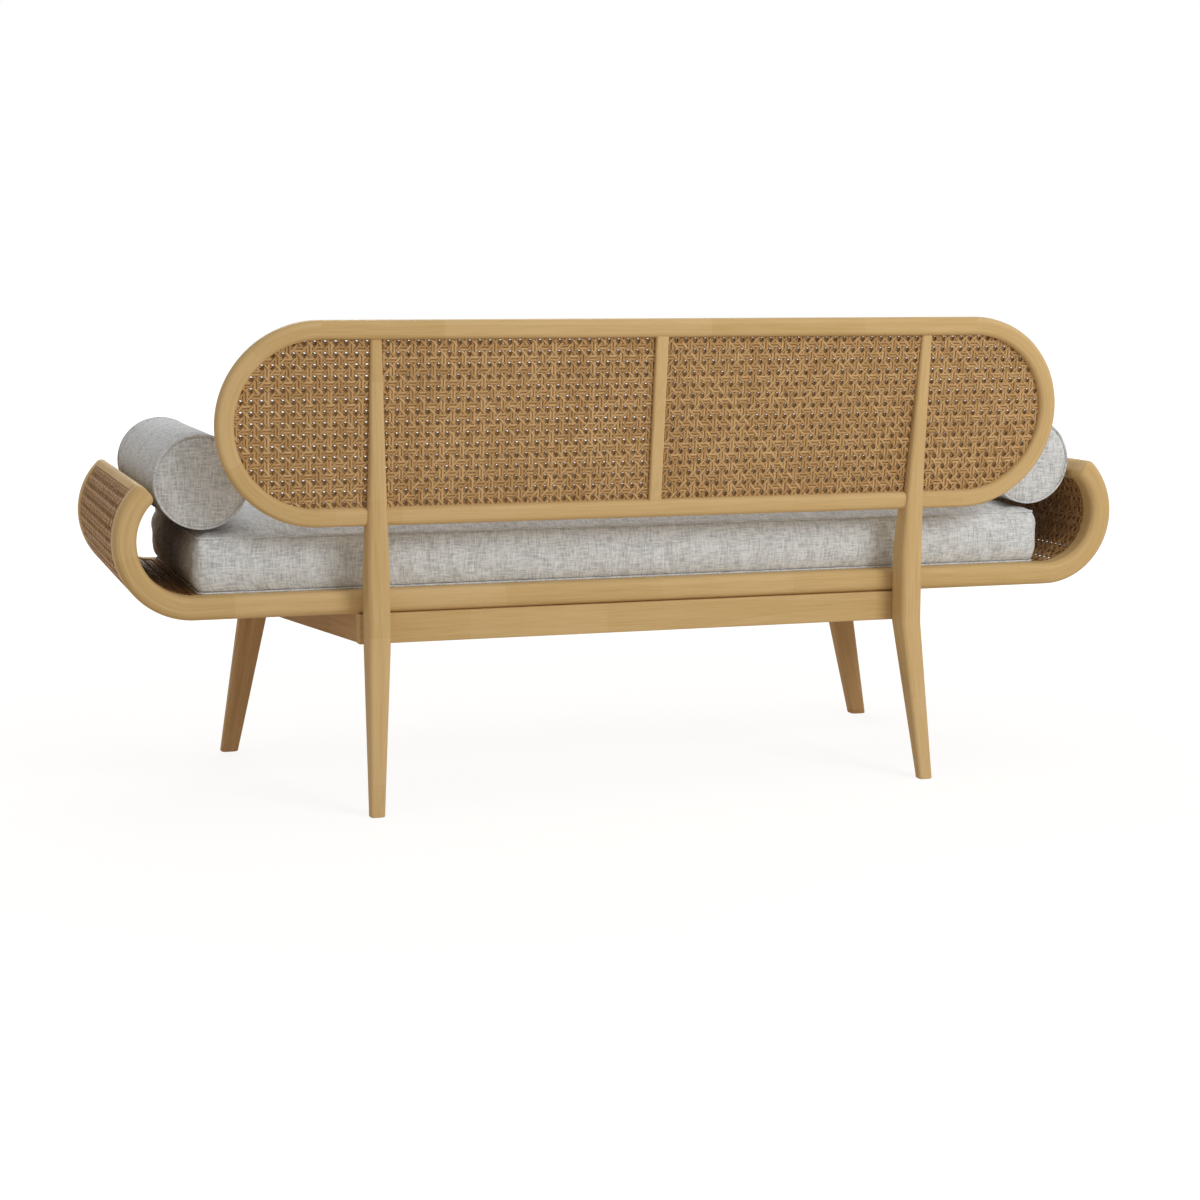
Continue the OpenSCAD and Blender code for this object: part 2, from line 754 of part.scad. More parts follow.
module apron_bolt(grow) {
    translate([knee_x - apron_bolt_in, knee_y - apron_t - block_bite, apron_bolt_z])
        rotate([-90, 0, 0]) bolt(block_bite + apron_t + bolt_bite, grow);
}

// Front legs: a bolt square to the corner block's slanted face, into the leg's inner corner
slant = (slant_b - slant_a) / norm(slant_b - slant_a);
slant_out = [-slant[1], slant[0]];
front_mid = [front_leg_x + front_foot_out * apron_h / 2 / rail_low, front_leg_y];
seat_sunk = bolt_head_t + 1;
front_bolt_l = (slant_a - front_mid) * slant_out - seat_sunk + front_top_d / 8;

module front_bolt(grow) {
    head_at = front_mid + slant_out * (front_bolt_l - front_top_d / 8);
    translate([head_at[0], head_at[1], apron_bolt_z])
        rotate([0, 0, atan2(-slant_out[1], -slant_out[0])]) rotate([0, 90, 0])
            bolt(front_bolt_l, grow);
}

module leg_bolts() {
    color(steel) for (s = [-1, 1]) on_side(s) {
        rail_bolt(0);
        apron_bolt(0);
        front_bolt(0);
    }
}

// Dowels: pairs at the ends of the rails, in the arm bars and in the ring
module rail_dowels(y, d) {
    grow = (d - dowel_d) / 2;
    for (up = [-1, 1]) translate([bend_x - dowel_l / 2 - grow, y, rail_z + up * (dowel_d + 2)])
        rotate([0, 90, 0]) cylinder(d = d, h = dowel_l + 2 * grow, $fn = 32);
}

module top_bar_dowels(d) {
    grow = (d - dowel_d) / 2;
    at_bend() for (y = [front_in, rear_in])
        translate([for (c = bend_r * polar(tip_a - bar_a / 2)) c])
            translate([0, 0, -y - dowel_l / 2 - grow])
                cylinder(d = d, h = dowel_l + 2 * grow, $fn = 32);
}

module crossbar_dowels(d) {
    grow = (d - dowel_d) / 2;
    for (y = [front_in, rear_in]) translate([bend_x - crossbar_w / 2, y - dowel_l / 2 - grow, rail_z])
        rotate([-90, 0, 0]) cylinder(d = d, h = dowel_l + 2 * grow, $fn = 32);
}

module ring_dowels(d) {
    grow = (d - dowel_d) / 2;
    for (side = [-1, 1], up = [-1, 1])
        at_back() translate([side * end_x - dowel_l / 2 - grow, up * (back_mid + frame_w / 8), 0])
            rotate([0, 90, 0]) cylinder(d = d, h = dowel_l + 2 * grow, $fn = 32);
}

module frame_dowels() {
    color(wood) {
        ring_dowels(dowel_d);
        for (s = [-1, 1]) on_side(s) {
            rail_dowels(front_rail_y, dowel_d);
            rail_dowels(rear_rail_y, dowel_d);
            top_bar_dowels(dowel_d);
            crossbar_dowels(dowel_d);
        }
    }
}

// Cushions
side_n = 9;
end_side_n = 4;
arc_n = 3;
function edge_run(a, b, n) = [for (i = [1:n - 1]) lerp(a, b, i / n)];
// Closed outline of a rounded rectangle, the same number of points at every inset
function pad_outline(l, w, r) = concat(
    [for (i = [0:arc_n]) [l / 2 - r, w / 2 - r] + r * polar(90 * i / arc_n)],
    edge_run([l / 2 - r, w / 2], [r - l / 2, w / 2], side_n),
    [for (i = [0:arc_n]) [r - l / 2, w / 2 - r] + r * polar(90 + 90 * i / arc_n)],
    edge_run([-l / 2, w / 2 - r], [-l / 2, r - w / 2], end_side_n),
    [for (i = [0:arc_n]) [r - l / 2, r - w / 2] + r * polar(180 + 90 * i / arc_n)],
    edge_run([r - l / 2, -w / 2], [l / 2 - r, -w / 2], side_n),
    [for (i = [0:arc_n]) [l / 2 - r, r - w / 2] + r * polar(270 + 90 * i / arc_n)],
    edge_run([l / 2, r - w / 2], [l / 2, w / 2 - r], end_side_n));
function pad_ring(inset, z) =
    [for (p = pad_outline(cushion_l - 2 * inset, cushion_w - 2 * inset,
        max(cushion_corner - inset, 3))) [p[0], p[1] + cushion_y, cushion_z + z]];

// Crown: a quarter ellipse from the seam to the middle of the cushion's depth
function crown(inset) = cushion_crown * sqrt(1 - (1 - min(2 * inset / cushion_w, 1)) ^ 2);
seam_low = piping_d;
seam_high = cushion_t - piping_d / 2;
module seat_cushion() {
    color(cloth) skin(concat(
        [pad_ring(piping_d * 1.6, 0), pad_ring(piping_d * 0.4, seam_low - piping_d * 0.7),
            pad_ring(0, seam_low), pad_ring(piping_d * 0.4, seam_low + piping_d * 0.6),
            pad_ring(piping_d * 0.4 + side_draw, cushion_t / 2),
            pad_ring(piping_d * 0.4, seam_high - piping_d * 0.6), pad_ring(0, seam_high)],
        [for (share = [0.005, 0.026, 0.056, 0.112, 0.205, 0.34, 0.47])
            pad_ring(share * cushion_w, seam_high + crown(share * cushion_w))]));
}

bolster_r = bolster_d / 2;
bolster_lift = max([for (dx = [0:2:40])
    crown(bolster_inset + dx) + sqrt(bolster_r ^ 2 - dx ^ 2) - bolster_r]);
bolster_z = cushion_z + seam_high + bolster_lift + bolster_r + rest_gap;
module bolster() {
    bead = piping_d / 2;
    color(cloth) translate([bolster_x, bolster_y, bolster_z]) rotate([90, 0, 0])
        rotate_extrude($fn = 72) polygon(concat(
            [[0, -bolster_l / 2]],
            [for (i = [1:5]) let (x = i / 5)
                [x * (bolster_r - 2 * bead), -bolster_l / 2 + bolster_bulge * x ^ 3]],
            [[bolster_r - bead, -bolster_l / 2 + bolster_bulge - bead],
                [bolster_r, -bolster_l / 2 + bolster_bulge],
                [bolster_r - bead * 0.8, -bolster_l / 2 + bolster_bulge + bead * 1.4],
                [bolster_r - bead * 0.3, -bolster_l / 4], [bolster_r, 0],
                [bolster_r - bead * 0.3, bolster_l / 4],
                [bolster_r - bead * 0.8, bolster_l / 2 - bolster_bulge - bead * 1.4],
                [bolster_r, bolster_l / 2 - bolster_bulge],
                [bolster_r - bead, bolster_l / 2 - bolster_bulge + bead]],
            [for (i = [5:-1:1]) let (x = i / 5)
                [x * (bolster_r - 2 * bead), bolster_l / 2 - bolster_bulge * x ^ 3]],
            [[0, bolster_l / 2]]));
}

rear_rail();
front_rail();
arm_hoop(rear_rail_y);  // arm_hoop_rear_left
on_side(-1) arm_hoop(rear_rail_y);  // arm_hoop_rear_right
arm_hoop(front_rail_y);  // arm_hoop_front_left
on_side(-1) arm_hoop(front_rail_y);  // arm_hoop_front_right
arm_top_bar();  // arm_top_bar_left
on_side(-1) arm_top_bar();  // arm_top_bar_right
arm_crossbar();  // arm_crossbar_left
on_side(-1) arm_crossbar();  // arm_crossbar_right
arm_cane(1);  // arm_cane_outer_left
on_side(-1) arm_cane(1);  // arm_cane_outer_right
arm_cane(-1);  // arm_cane_inner_left
on_side(-1) arm_cane(-1);  // arm_cane_inner_right
back_top_rail();
back_bottom_rail();
back_stub();  // back_stub_left
on_side(-1) back_stub();  // back_stub_right
back_end();  // back_end_left
on_side(-1) back_end();  // back_end_right
back_middle_stile();
back_cane(true, -1);  // back_cane_rear_end_left
back_cane(false, -1);  // back_cane_rear_mid_left
on_side(-1) back_cane(false, -1);  // back_cane_rear_mid_right
on_side(-1) back_cane(true, -1);  // back_cane_rear_end_right
back_cane(true, 1);  // back_cane_front_end_left
back_cane(false, 1);  // back_cane_front_mid_left
on_side(-1) back_cane(false, 1);  // back_cane_front_mid_right
on_side(-1) back_cane(true, 1);  // back_cane_front_end_right
rear_leg();  // rear_leg_left
on_side(-1) rear_leg();  // rear_leg_right
front_leg();  // front_leg_left
on_side(-1) front_leg();  // front_leg_right
rear_apron();
front_apron();
side_apron();  // side_apron_left
on_side(-1) side_apron();  // side_apron_right
base_stretcher();
seat_cross_rail();  // seat_cross_rail_left
on_side(-1) seat_cross_rail();  // seat_cross_rail_right
ledger(front_in, ledger_front_w);  // ledger_front
ledger(rear_in - ledger_rear_w, ledger_rear_w);  // ledger_rear
seat_slat(0);  // seat_slat_1
seat_slat(1);  // seat_slat_2
seat_slat(2);  // seat_slat_3
seat_slat(3);  // seat_slat_4
seat_slat(4);  // seat_slat_5
seat_slat(5);  // seat_slat_6
seat_slat(6);  // seat_slat_7
seat_slat(7);  // seat_slat_8
seat_slat(8);  // seat_slat_9
corner_blocks();
frame_dowels();
leg_bolts();
slat_screws();
seat_cushion();
bolster();  // bolster_left
on_side(-1) bolster();  // bolster_right
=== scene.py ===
"""Looks of the cane sofa: bent oak frame, woven cane, linen cushion and bolsters."""

import math

import bpy
import numpy as np
from bpy.props import FloatProperty, FloatVectorProperty, IntProperty, PointerProperty
from bpy.types import Operator, Panel, PropertyGroup
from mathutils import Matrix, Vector


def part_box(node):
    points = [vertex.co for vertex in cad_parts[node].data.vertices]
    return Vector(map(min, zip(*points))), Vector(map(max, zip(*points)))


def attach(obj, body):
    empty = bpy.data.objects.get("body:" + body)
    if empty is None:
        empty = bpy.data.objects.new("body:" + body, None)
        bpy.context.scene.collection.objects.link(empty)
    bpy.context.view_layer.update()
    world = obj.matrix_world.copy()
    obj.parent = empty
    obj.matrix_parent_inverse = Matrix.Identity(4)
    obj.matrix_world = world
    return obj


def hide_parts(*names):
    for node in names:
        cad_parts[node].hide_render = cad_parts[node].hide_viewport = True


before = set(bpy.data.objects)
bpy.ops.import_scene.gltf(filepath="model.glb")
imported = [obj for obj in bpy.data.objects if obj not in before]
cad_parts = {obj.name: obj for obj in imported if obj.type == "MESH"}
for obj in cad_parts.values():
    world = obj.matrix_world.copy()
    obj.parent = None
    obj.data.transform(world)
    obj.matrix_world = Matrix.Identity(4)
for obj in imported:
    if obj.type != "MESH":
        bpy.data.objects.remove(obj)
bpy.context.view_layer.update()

bl_info = {
    "name": "Cane Sofa",
    "version": (1, 0, 0),
    "blender": (4, 5, 0),
    "location": "View3D > Sidebar > Cane Sofa",
    "description": "Bent oak frame, woven cane, linen cushion and bolsters of a cane sofa",
    "category": "Object",
}

SIDES = (("left", 1), ("right", -1))
# How deep the cane's edges are let into the frame
CANE_LET_IN = 0.0048
# Rounding under a foot, and the heights of its stations
FOOT_ROUNDING = 0.0015
FOOT_HEIGHTS = (0, 0.0007, FOOT_ROUNDING)


# Sizes and colours

def linear(hex_colour):
    """Linear colour of an sRGB hex value: each channel c is c / 12.92 below 0.04045 and
    ((c + 0.055) / 1.055) ^ 2.4 above."""
    c = np.array([int(hex_colour[i:i + 2], 16) for i in (0, 2, 4)]) / 255
    return tuple(np.where(c < 0.04045, c / 12.92, ((c + 0.055) / 1.055) ** 2.4).tolist())


def length(name, description, default):
    return FloatProperty(name=name, description=description, default=default, unit="LENGTH", precision=4)


def angle(name, description, degrees):
    return FloatProperty(name=name, description=description, default=math.radians(degrees), subtype="ANGLE")


def colour(name, description, hex_colour):
    return FloatVectorProperty(name=name, description=description, default=linear(hex_colour),
                               subtype="COLOR", min=0, max=1)


class SofaSizes(PropertyGroup):
    bend_radius: length("Arm bend", "Radius of an arm's bend at the middle of its rail", 0.108)
    arm_sweep: angle("Arm sweep", "How far an arm curls round from the seat", 140)
    rail_rounding: length("Rail rounding", "Rounding of a rail's outer long edges", 0.013)
    inner_rounding: length("Inner rounding", "Rounding of a rail's long edges on the seat's side", 0.005)
    tip_rounding: length("Tip rounding", "Rounding of the arm's tip", 0.011)
    back_lean: angle("Back lean", "Lean of the back from upright", 7.5)
    ring_height: length("Back height", "Height of the back frame along its lean", 0.332)
    ring_width: length("Ring width", "Width of the back frame's members", 0.030)
    ring_depth: length("Ring depth", "Thickness of the back frame's members", 0.026)
    ring_rounding: length("Ring rounding", "Rounding of the back frame's long edges", 0.009)
    cane_across: length("Cane pitch across", "Spacing of the vertical pairs of strands", 0.0167)
    cane_up: length("Cane pitch up", "Spacing of the level pairs of strands", 0.0186)
    strand_width: length("Strand width", "Width of one strand of cane, before the sheet's gauge", 0.0042)
    strand_depth: length("Strand thickness", "Thickness of one strand of cane", 0.0007)
    pair_spacing: length("Pair spacing", "Distance between the middles of a pair's two strands", 0.0045)
    piping: length("Piping", "Diameter of the piping round the seat cushion", 0.0036)
    boxing: length("Boxing height", "Height of the top piping above the seat rails", 0.090)
    seat_swell: length("Seat swell", "Most that the seat cushion's cover moves as it fills", 0.009)
    bolster_swell: length("Bolster swell", "Most that a bolster's cover moves as it fills", 0.005)
    air: FloatProperty(name="Filling", description="Pressure that fills the covers", default=4.0)
    fill_frames: IntProperty(name="Filling steps", description="Steps over which covers fill", default=20)


class SofaColours(PropertyGroup):
    oak_light: colour("Oak, pale grain", "Early wood of the oiled oak", "d5b684")
    oak_dark: colour("Oak, dark grain", "Late wood of the oiled oak", "c1a169")
    # The redder oak of the front legs and side aprons is painted warm shade, for light bounced between the
    # parts under the seat
    heart_light: colour("Oak with painted warm shade, pale grain", "Early wood of the base's boards, reddened as painted warm shade", "cda879")
    heart_dark: colour("Oak with painted warm shade, dark grain", "Late wood of the base's boards, reddened as painted warm shade", "b58d5e")
    beech_light: colour("Seat wood, pale", "Pale grain of the hidden seat timber", "b58d5c")
    beech_dark: colour("Seat wood, dark", "Dark grain of the hidden seat timber", "8f6a40")
    cane_light: colour("Cane, pale", "Palest strands of the back", "d6b07e")
    cane_dark: colour("Cane, dark", "Darkest strands of the back", "b18a5b")
    # The arms' cane is drawn darker and redder than the back's: painted shade on the arms
    arm_cane_light: colour("Arm cane, pale", "Palest strands of the arms' cane, darkened as painted shade", "c99e6c")
    arm_cane_dark: colour("Arm cane, dark", "Darkest strands of the arms' cane, darkened as painted shade", "9c7348")
    linen_light: colour("Linen, pale yarn", "Pale yarn of the melange cloth", "e4e7e9")
    linen_dark: colour("Linen, dark slub", "Dark slubs of the melange cloth", "a4a8ab")
    floor: colour("Floor", "Pale studio floor", "e7dfd4")


# Materials

WOODS = {"oak": ("Oiled oak", 0.58), "heart": ("Oiled oak heartwood", 0.58), "beech": ("Planed beech", 0.62)}
CANES = {"cane": "Rattan cane", "arm_cane": "Rattan cane, arms"}


def add(tree, kind, sockets=None, stops=(), **settings):
    """Adds a shader node with its settings and returns its outputs. sockets holds a value or another node's
    output for each input, by name or number, and stops the places and linear colours of a colour ramp."""
    node = tree.nodes.new("ShaderNode" + kind)
    for key, value in settings.items():
        setattr(node, key, value)
    for k, (place, shade) in enumerate(stops):
        element = node.color_ramp.elements[k]
        element.position, element.color = place, (*shade, 1)
    for key, value in (sockets or {}).items():
        if isinstance(value, bpy.types.NodeSocket):
            tree.links.new(value, node.inputs[key])
        else:
            node.inputs[key].default_value = value
    return node.outputs


def blank(name):
    """A new material without nodes, and its tree."""
    material = bpy.data.materials.new(name)
    material.use_nodes = True
    material.node_tree.nodes.clear()
    return material, material.node_tree


def grain_vector(tree, axis):
    """Coordinates in metres whose X runs along the grain: a swept piece's own map, or the object's axis of
    that letter."""
    if axis == "UV":
        return add(tree, "UVMap", uv_map="Grain")[0]
    place = add(tree, "SeparateXYZ", {0: add(tree, "TexCoord")["Object"]})
    order = {"X": (0, 1, 2), "Y": (1, 0, 2), "Z": (2, 0, 1)}[axis]
    return add(tree, "CombineXYZ", {i: place[k] for i, k in enumerate(order)})[0]


def wood(name, axis, pale, dark, roughness):
    """Planed and oiled hardwood, which looks silky and matt with streaks along its length. Fine streaks are
    2 mm wide and 90 mm long, broad bands 14 mm wide and 450 mm long, and boards about 240 mm long differ a
    little in tone, as in a member glued up from short lengths."""
    material, tree = blank(name)
    vector = grain_vector(tree, axis)

    def streaks(long, wide, detail, distortion):
        size = (1 / long, 1 / wide, 1 / wide)
        scaled = add(tree, "VectorMath", {0: vector, 1: size}, operation="MULTIPLY")[0]
        return add(tree, "TexNoise", {"Vector": scaled, "Scale": 1.0, "Detail": detail, "Roughness": 0.6,
                                      "Distortion": distortion})[0]

    fine = streaks(0.09, 0.002, 4.0, 0.3)
    broad = streaks(0.45, 0.014, 2.0, 0.6)
    along = add(tree, "SeparateXYZ", {0: vector})[0]
    count = add(tree, "Math", {0: along, 1: 1 / 0.24}, operation="MULTIPLY")[0]
    board = add(tree, "TexVoronoi", {"W": count, "Scale": 1.0}, voronoi_dimensions="1D")["Color"]
    board = add(tree, "SeparateColor", {0: board})[0]
    tone = 0.02
    for part, weight in ((fine, 0.55), (broad, 0.35), (board, 0.12)):
        tone = add(tree, "Math", {0: part, 1: weight, 2: tone}, operation="MULTIPLY_ADD")[0]
    shader = add(tree, "BsdfPrincipled", {
        "Base Color": add(tree, "ValToRGB", {0: tone}, ((0.33, dark), (0.62, pale)))[0],
        "Roughness": roughness, "Specular IOR Level": 0.09,
        "Normal": add(tree, "Bump", {"Height": fine, "Strength": 0.25, "Distance": 0.0004})[0]})[0]
    add(tree, "OutputMaterial", {"Surface": shader})
    return material


def rattan(name, pale, dark):
    """Split rattan skin, which looks smooth with a soft shine. Each strand has its own tone and lengthwise
    fibres 0.5 mm wide and 25 mm long. The strands are drawn 4.4 to 5.9 mm wide, coarser than the real
    2.5 mm, so that they show."""
    material, tree = blank(name)
    vector = add(tree, "UVMap", uv_map="Fibre")[0]
    scaled = add(tree, "VectorMath", {0: vector, 1: (1 / 0.025, 1 / 0.0005, 1)}, operation="MULTIPLY")[0]
    fibre = add(tree, "TexNoise", {"Vector": scaled, "Scale": 1.0, "Detail": 3.0})[0]
    strand = add(tree, "Attribute", attribute_name="strand")["Fac"]
    tone = add(tree, "Math", {0: fibre, 1: 0.5, 2: -0.1}, operation="MULTIPLY_ADD")[0]
    tone = add(tree, "Math", {0: strand, 1: 0.7, 2: tone}, operation="MULTIPLY_ADD")[0]
    shader = add(tree, "BsdfPrincipled", {
        "Base Color": add(tree, "ValToRGB", {0: tone}, ((0.1, dark), (0.9, pale)))[0],
        "Roughness": 0.5, "Specular IOR Level": 0.1,
        "Normal": add(tree, "Bump", {"Height": fibre, "Strength": 0.3, "Distance": 0.0003})[0]})[0]
    add(tree, "OutputMaterial", {"Surface": shader})
    return material


def linen(pale, dark):
    """Slubbed linen melange in plain weave, which looks dull with a crosshatch of pale and dark yarns. Yarns
    are 2 mm apart both ways, drawn coarser than the real 0.7 mm so that they show; each has pale and dark
    stretches about 22 mm long, shared in part with its neighbours."""
    material, tree = blank("Slubbed linen")
    chart = add(tree, "UVMap", uv_map="Weave")[0]
    place = add(tree, "SeparateXYZ", {0: chart})
    apart, slub = 0.0020, 0.022

    def yarn(across, along, seed):
        count = add(tree, "Math", {0: across, 1: apart}, operation="DIVIDE")[0]
        number = add(tree, "Math", {0: count}, operation="FLOOR")[0]
        spread = add(tree, "Math", {0: number, 1: 1.3, 2: seed}, operation="MULTIPLY_ADD")[0]
        run = add(tree, "Math", {0: along, 1: slub}, operation="DIVIDE")[0]
        vector = add(tree, "CombineXYZ", {0: spread, 1: run})[0]
        tone = add(tree, "TexNoise", {"Vector": vector, "Scale": 1.0, "Detail": 2.0, "Roughness": 0.6})[0]
        return number, tone, add(tree, "Math", {0: count, 1: 0.5}, operation="PINGPONG")[0]

    warp_number, warp, warp_swell = yarn(place[0], place[1], 11.0)
    weft_number, weft, weft_swell = yarn(place[1], place[0], 47.0)
    turn = add(tree, "Math", {0: warp_number, 1: weft_number}, operation="ADD")[0]
    turn = add(tree, "Math", {0: turn, 1: 1.0}, operation="PINGPONG")[0]
    relief = add(tree, "Mix", {0: turn, 2: warp_swell, 3: weft_swell})[0]
    both = add(tree, "Mix", {0: 0.5, 2: warp, 3: weft})[0]
    # Yarn middles are made paler and the gaps between yarns darker: painted shade between the yarns, beside
    # the bump
    swell = add(tree, "Math", {0: warp_swell, 1: weft_swell}, operation="ADD")[0]
    tone = add(tree, "Math", {0: swell, 1: 0.11, 2: both}, operation="MULTIPLY_ADD")[0]
    cloud = add(tree, "TexNoise", {"Vector": chart, "Scale": 28.0, "Detail": 1.0})[0]
    tone = add(tree, "Math", {0: cloud, 1: 0.10, 2: tone}, operation="MULTIPLY_ADD")[0]
    shader = add(tree, "BsdfPrincipled", {
        "Base Color": add(tree, "ValToRGB", {0: tone}, ((0.43, dark), (0.70, pale)))[0],
        "Roughness": 0.9, "Specular IOR Level": 0.1, "Sheen Weight": 0.12, "Sheen Roughness": 0.5,
        "Normal": add(tree, "Bump", {"Height": relief, "Strength": 0.3, "Distance": 0.0006})[0]})[0]
    add(tree, "OutputMaterial", {"Surface": shader})
    return material


def zinc_steel():
    """Zinc-plated steel, a bright grey metal that the plating mottles faintly at 3 mm."""
    material, tree = blank("Zinc-plated steel")
    place = add(tree, "TexCoord")["Object"]
    mottle = add(tree, "TexNoise", {"Vector": place, "Scale": 330.0, "Detail": 2.0})[0]
    tone = add(tree, "ValToRGB", {0: mottle}, ((0.3, linear("9a9da0")), (0.7, linear("b9bcbe"))))[0]
    shader = add(tree, "BsdfPrincipled", {"Base Color": tone, "Metallic": 1.0, "Roughness": 0.38})[0]
    add(tree, "OutputMaterial", {"Surface": shader})
    return material


def finish(key):
    """The finish of that name, made once and then shared. The grain's direction follows a wood's name."""
    colours = bpy.context.scene.sofa_colours
    made = bpy.context.scene.get("sofa_finishes", {})
    if key in made and made[key] in bpy.data.materials:
        return bpy.data.materials[made[key]]
    kind, _, axis = key.partition(" ")
    if kind == "steel":
        material = zinc_steel()
    else:
        pale, dark = (tuple(getattr(colours, f"{kind}_{tone}")) for tone in ("light", "dark"))
        if kind in WOODS:
            title, roughness = WOODS[kind]
            material = wood(f"{title} {axis.lower()}", axis, pale, dark, roughness)
        elif kind in CANES:
            material = rattan(CANES[kind], pale, dark)
        else:
            material = linen(pale, dark)
    bpy.context.scene["sofa_finishes"] = {**dict(made), key: material.name}
    return material


# Meshes from whole arrays

def new_piece(name, points, faces, maps=None, normals=None, values=None):
    """Puts arrays into a mesh whose object sits at the origin: points in metres, faces as arrays of corner
    indices, and maps and normals one row per face corner. The faces of a closed shape are turned to point
    outwards, by the sign of the volume that they enclose."""
    volume = 0.0
    for block in faces:
        for k in range(2, block.shape[1]):
            a, b, c = points[block[:, 0]], points[block[:, k - 1]], points[block[:, k]]
            volume += np.einsum("ij,ij->", a, np.cross(b, c))
    turn = slice(None, None, -1 if volume < 0 else 1)
    rows = [row for block in faces for row in block[:, turn].tolist()]
    mesh = bpy.data.meshes.new(name)
    mesh.from_pydata(points.tolist(), [], rows)

    def corners(blocks):
        return np.concatenate([b[:, turn].reshape(-1, b.shape[-1]) for b in blocks])

    for key, blocks in (maps or {}).items():
        mesh.uv_layers.new(name=key).data.foreach_set("uv", corners(blocks).astype(np.float32).ravel())
    for key, value in (values or {}).items():
        mesh.attributes.new(key, "FLOAT", "POINT").data.foreach_set("value", value.astype(np.float32))
    mesh.polygons.foreach_set("use_smooth", np.ones(len(rows), bool))
    mesh.update()
    if normals is not None:
        mesh.normals_split_custom_set(corners(normals).tolist())
    piece = bpy.data.objects.new(name, mesh)
    bpy.context.scene.collection.objects.link(piece)
    return piece


def dress(piece, key, body, slot, *nodes):
    """Gives a piece its finish, the body it moves with and the CAD nodes it stands for. The slot is not
    used.
    """
    piece.data.materials.clear()
    piece.data.materials.append(finish(key))
    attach(piece, body)
    if nodes:
        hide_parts(*nodes)
    return piece


def frame_part(piece, node, key="oak UV"):
    """Dresses a wooden piece that stands for a node of the frame."""
    return dress(piece, key, "frame", "frame_wood", node)


def quad_chart(u0, u1, v0, v1):
    """Flat places of quads' corners, in the order (u0, v0), (u0, v1), (u1, v1), (u1, v0)."""
    return np.stack([np.stack(pair, -1) for pair in ((u0, v0), (u0, v1), (u1, v1), (u1, v0))], -2)


def swept(name, centre, out, side, section, around, along, closed=False, chart="Grain"):
    """A section carried along a path: point (i, j) = centre_i + out_i * a_ij + side_i * b_ij, where (a, b)
    is the section and around holds its outward directions. The chart is the distance along the path and
    round the section. An open path is closed by a fan of triangles at each end."""
    n, m = section.shape[:2]
    points = centre[:, None] + out[:, None] * section[..., :1] + side[:, None] * section[..., 1:]
    facing = out[:, None] * around[..., :1] + side[:, None] * around[..., 1:]
    across = side[:, None] * around[..., :1] - out[:, None] * around[..., 1:]
    if closed:
        onward = np.roll(points, -1, 0) - np.roll(points, 1, 0)
    else:
        onward = np.gradient(points, axis=0)
    normal = np.cross(across, onward)
    normal *= np.sign(np.einsum("ijk,ijk->ij", normal, facing))[..., None]
    normal /= np.linalg.norm(normal, axis=2, keepdims=True)
    gaps = np.linalg.norm(np.roll(section[0], -1, 0) - section[0], axis=1)
    round_at = np.concatenate([[0], np.cumsum(gaps)])
    i, j = np.meshgrid(np.arange(n if closed else n - 1), np.arange(m), indexing="ij")
    i, j = i.ravel(), j.ravel()
    after, beside = (i + 1) % n, (j + 1) % m
    faces = [np.stack([i * m + j, i * m + beside, after * m + beside, after * m + j], 1)]
    span = np.concatenate([along, [2 * along[-1] - along[-2]]])
    grain = [quad_chart(span[i], span[i + 1], round_at[j], round_at[j + 1])]
    normals = [normal.reshape(-1, 3)[faces[0]]]
    points = points.reshape(-1, 3)
    if not closed:
        ring = np.arange(m)
        turned = (ring + 1) % m
        for row, outwards, pair in ((0, centre[0] - centre[1], (turned, ring)),
                                    (n - 1, centre[-1] - centre[-2], (ring, turned))):
            hub = len(points)
            points = np.concatenate([points, centre[row:row + 1]])
            cap = np.stack([np.full(m, hub), pair[0] + row * m, pair[1] + row * m], 1)
            spread = np.append(section[row][:, 1], 0.0)
            local = np.where(cap == hub, m, cap - row * m)
            faces.append(cap)
            grain.append(np.stack([np.full(local.shape, along[row]), spread[local]], 2))
            normals.append(np.broadcast_to(outwards / np.linalg.norm(outwards), (m, 3, 3)).copy())
    return new_piece(name, points, faces, {chart: grain}, normals)


def rounded_section(n, across, through, radius, inner_radius=None, steps=5):
    """Corners and outward directions round rectangles with quarter-circle corners, one row for each of n
    stations: across is the first side, through the second, radius applies where the second coordinate is
    positive and inner_radius elsewhere."""
    inner_radius = radius if inner_radius is None else inner_radius
    across, through, radius, inner = (np.broadcast_to(x, n).astype(float)
                                      for x in (across, through, radius, inner_radius))
    points, around = [], []
    for k, (sx, sy) in enumerate(((1, 1), (-1, 1), (-1, -1), (1, -1))):
        r = (radius if sy > 0 else inner)[:, None]
        a = np.radians(90 * k + np.linspace(0, 90, steps + 1))[None]
        x = sx * (across[:, None] / 2 - r) + r * np.cos(a)
        y = sy * (through[:, None] / 2 - r) + r * np.sin(a)
        points.append(np.stack([x, y], 2))
        around.append(np.broadcast_to(np.stack([np.cos(a), np.sin(a)], 2), (n, steps + 1, 2)))
    return np.concatenate(points, 1), np.concatenate(around, 1)


def quarter(share):
    """How far a quarter circle of radius 1 stands back where it is that share of its radius from its end:
    1 - sqrt(1 - (1 - share)^2), and none past the radius."""
    return 1 - np.sqrt(np.clip(1 - (1 - np.clip(share, 0, 1)) ** 2, 0, 1))


def merged(points, faces, maps):
    """Joins corners that lie within 0.01 mm, so that a closed shape's grids share their edges."""
    _, first, index = np.unique(np.round(points, 5), axis=0, return_index=True, return_inverse=True)
    return points[first], [index.reshape(-1)[block] for block in faces], maps


def still(vector, n):
    """The same direction for each of n stations."""
    return np.broadcast_to(np.array(vector, float), (n, 3))


def mirrored(points, sign):
    """Points or directions with X times the sign, which is -1 for the right half."""
    return points * np.array([sign, 1, 1])


# Places that follow the CAD model

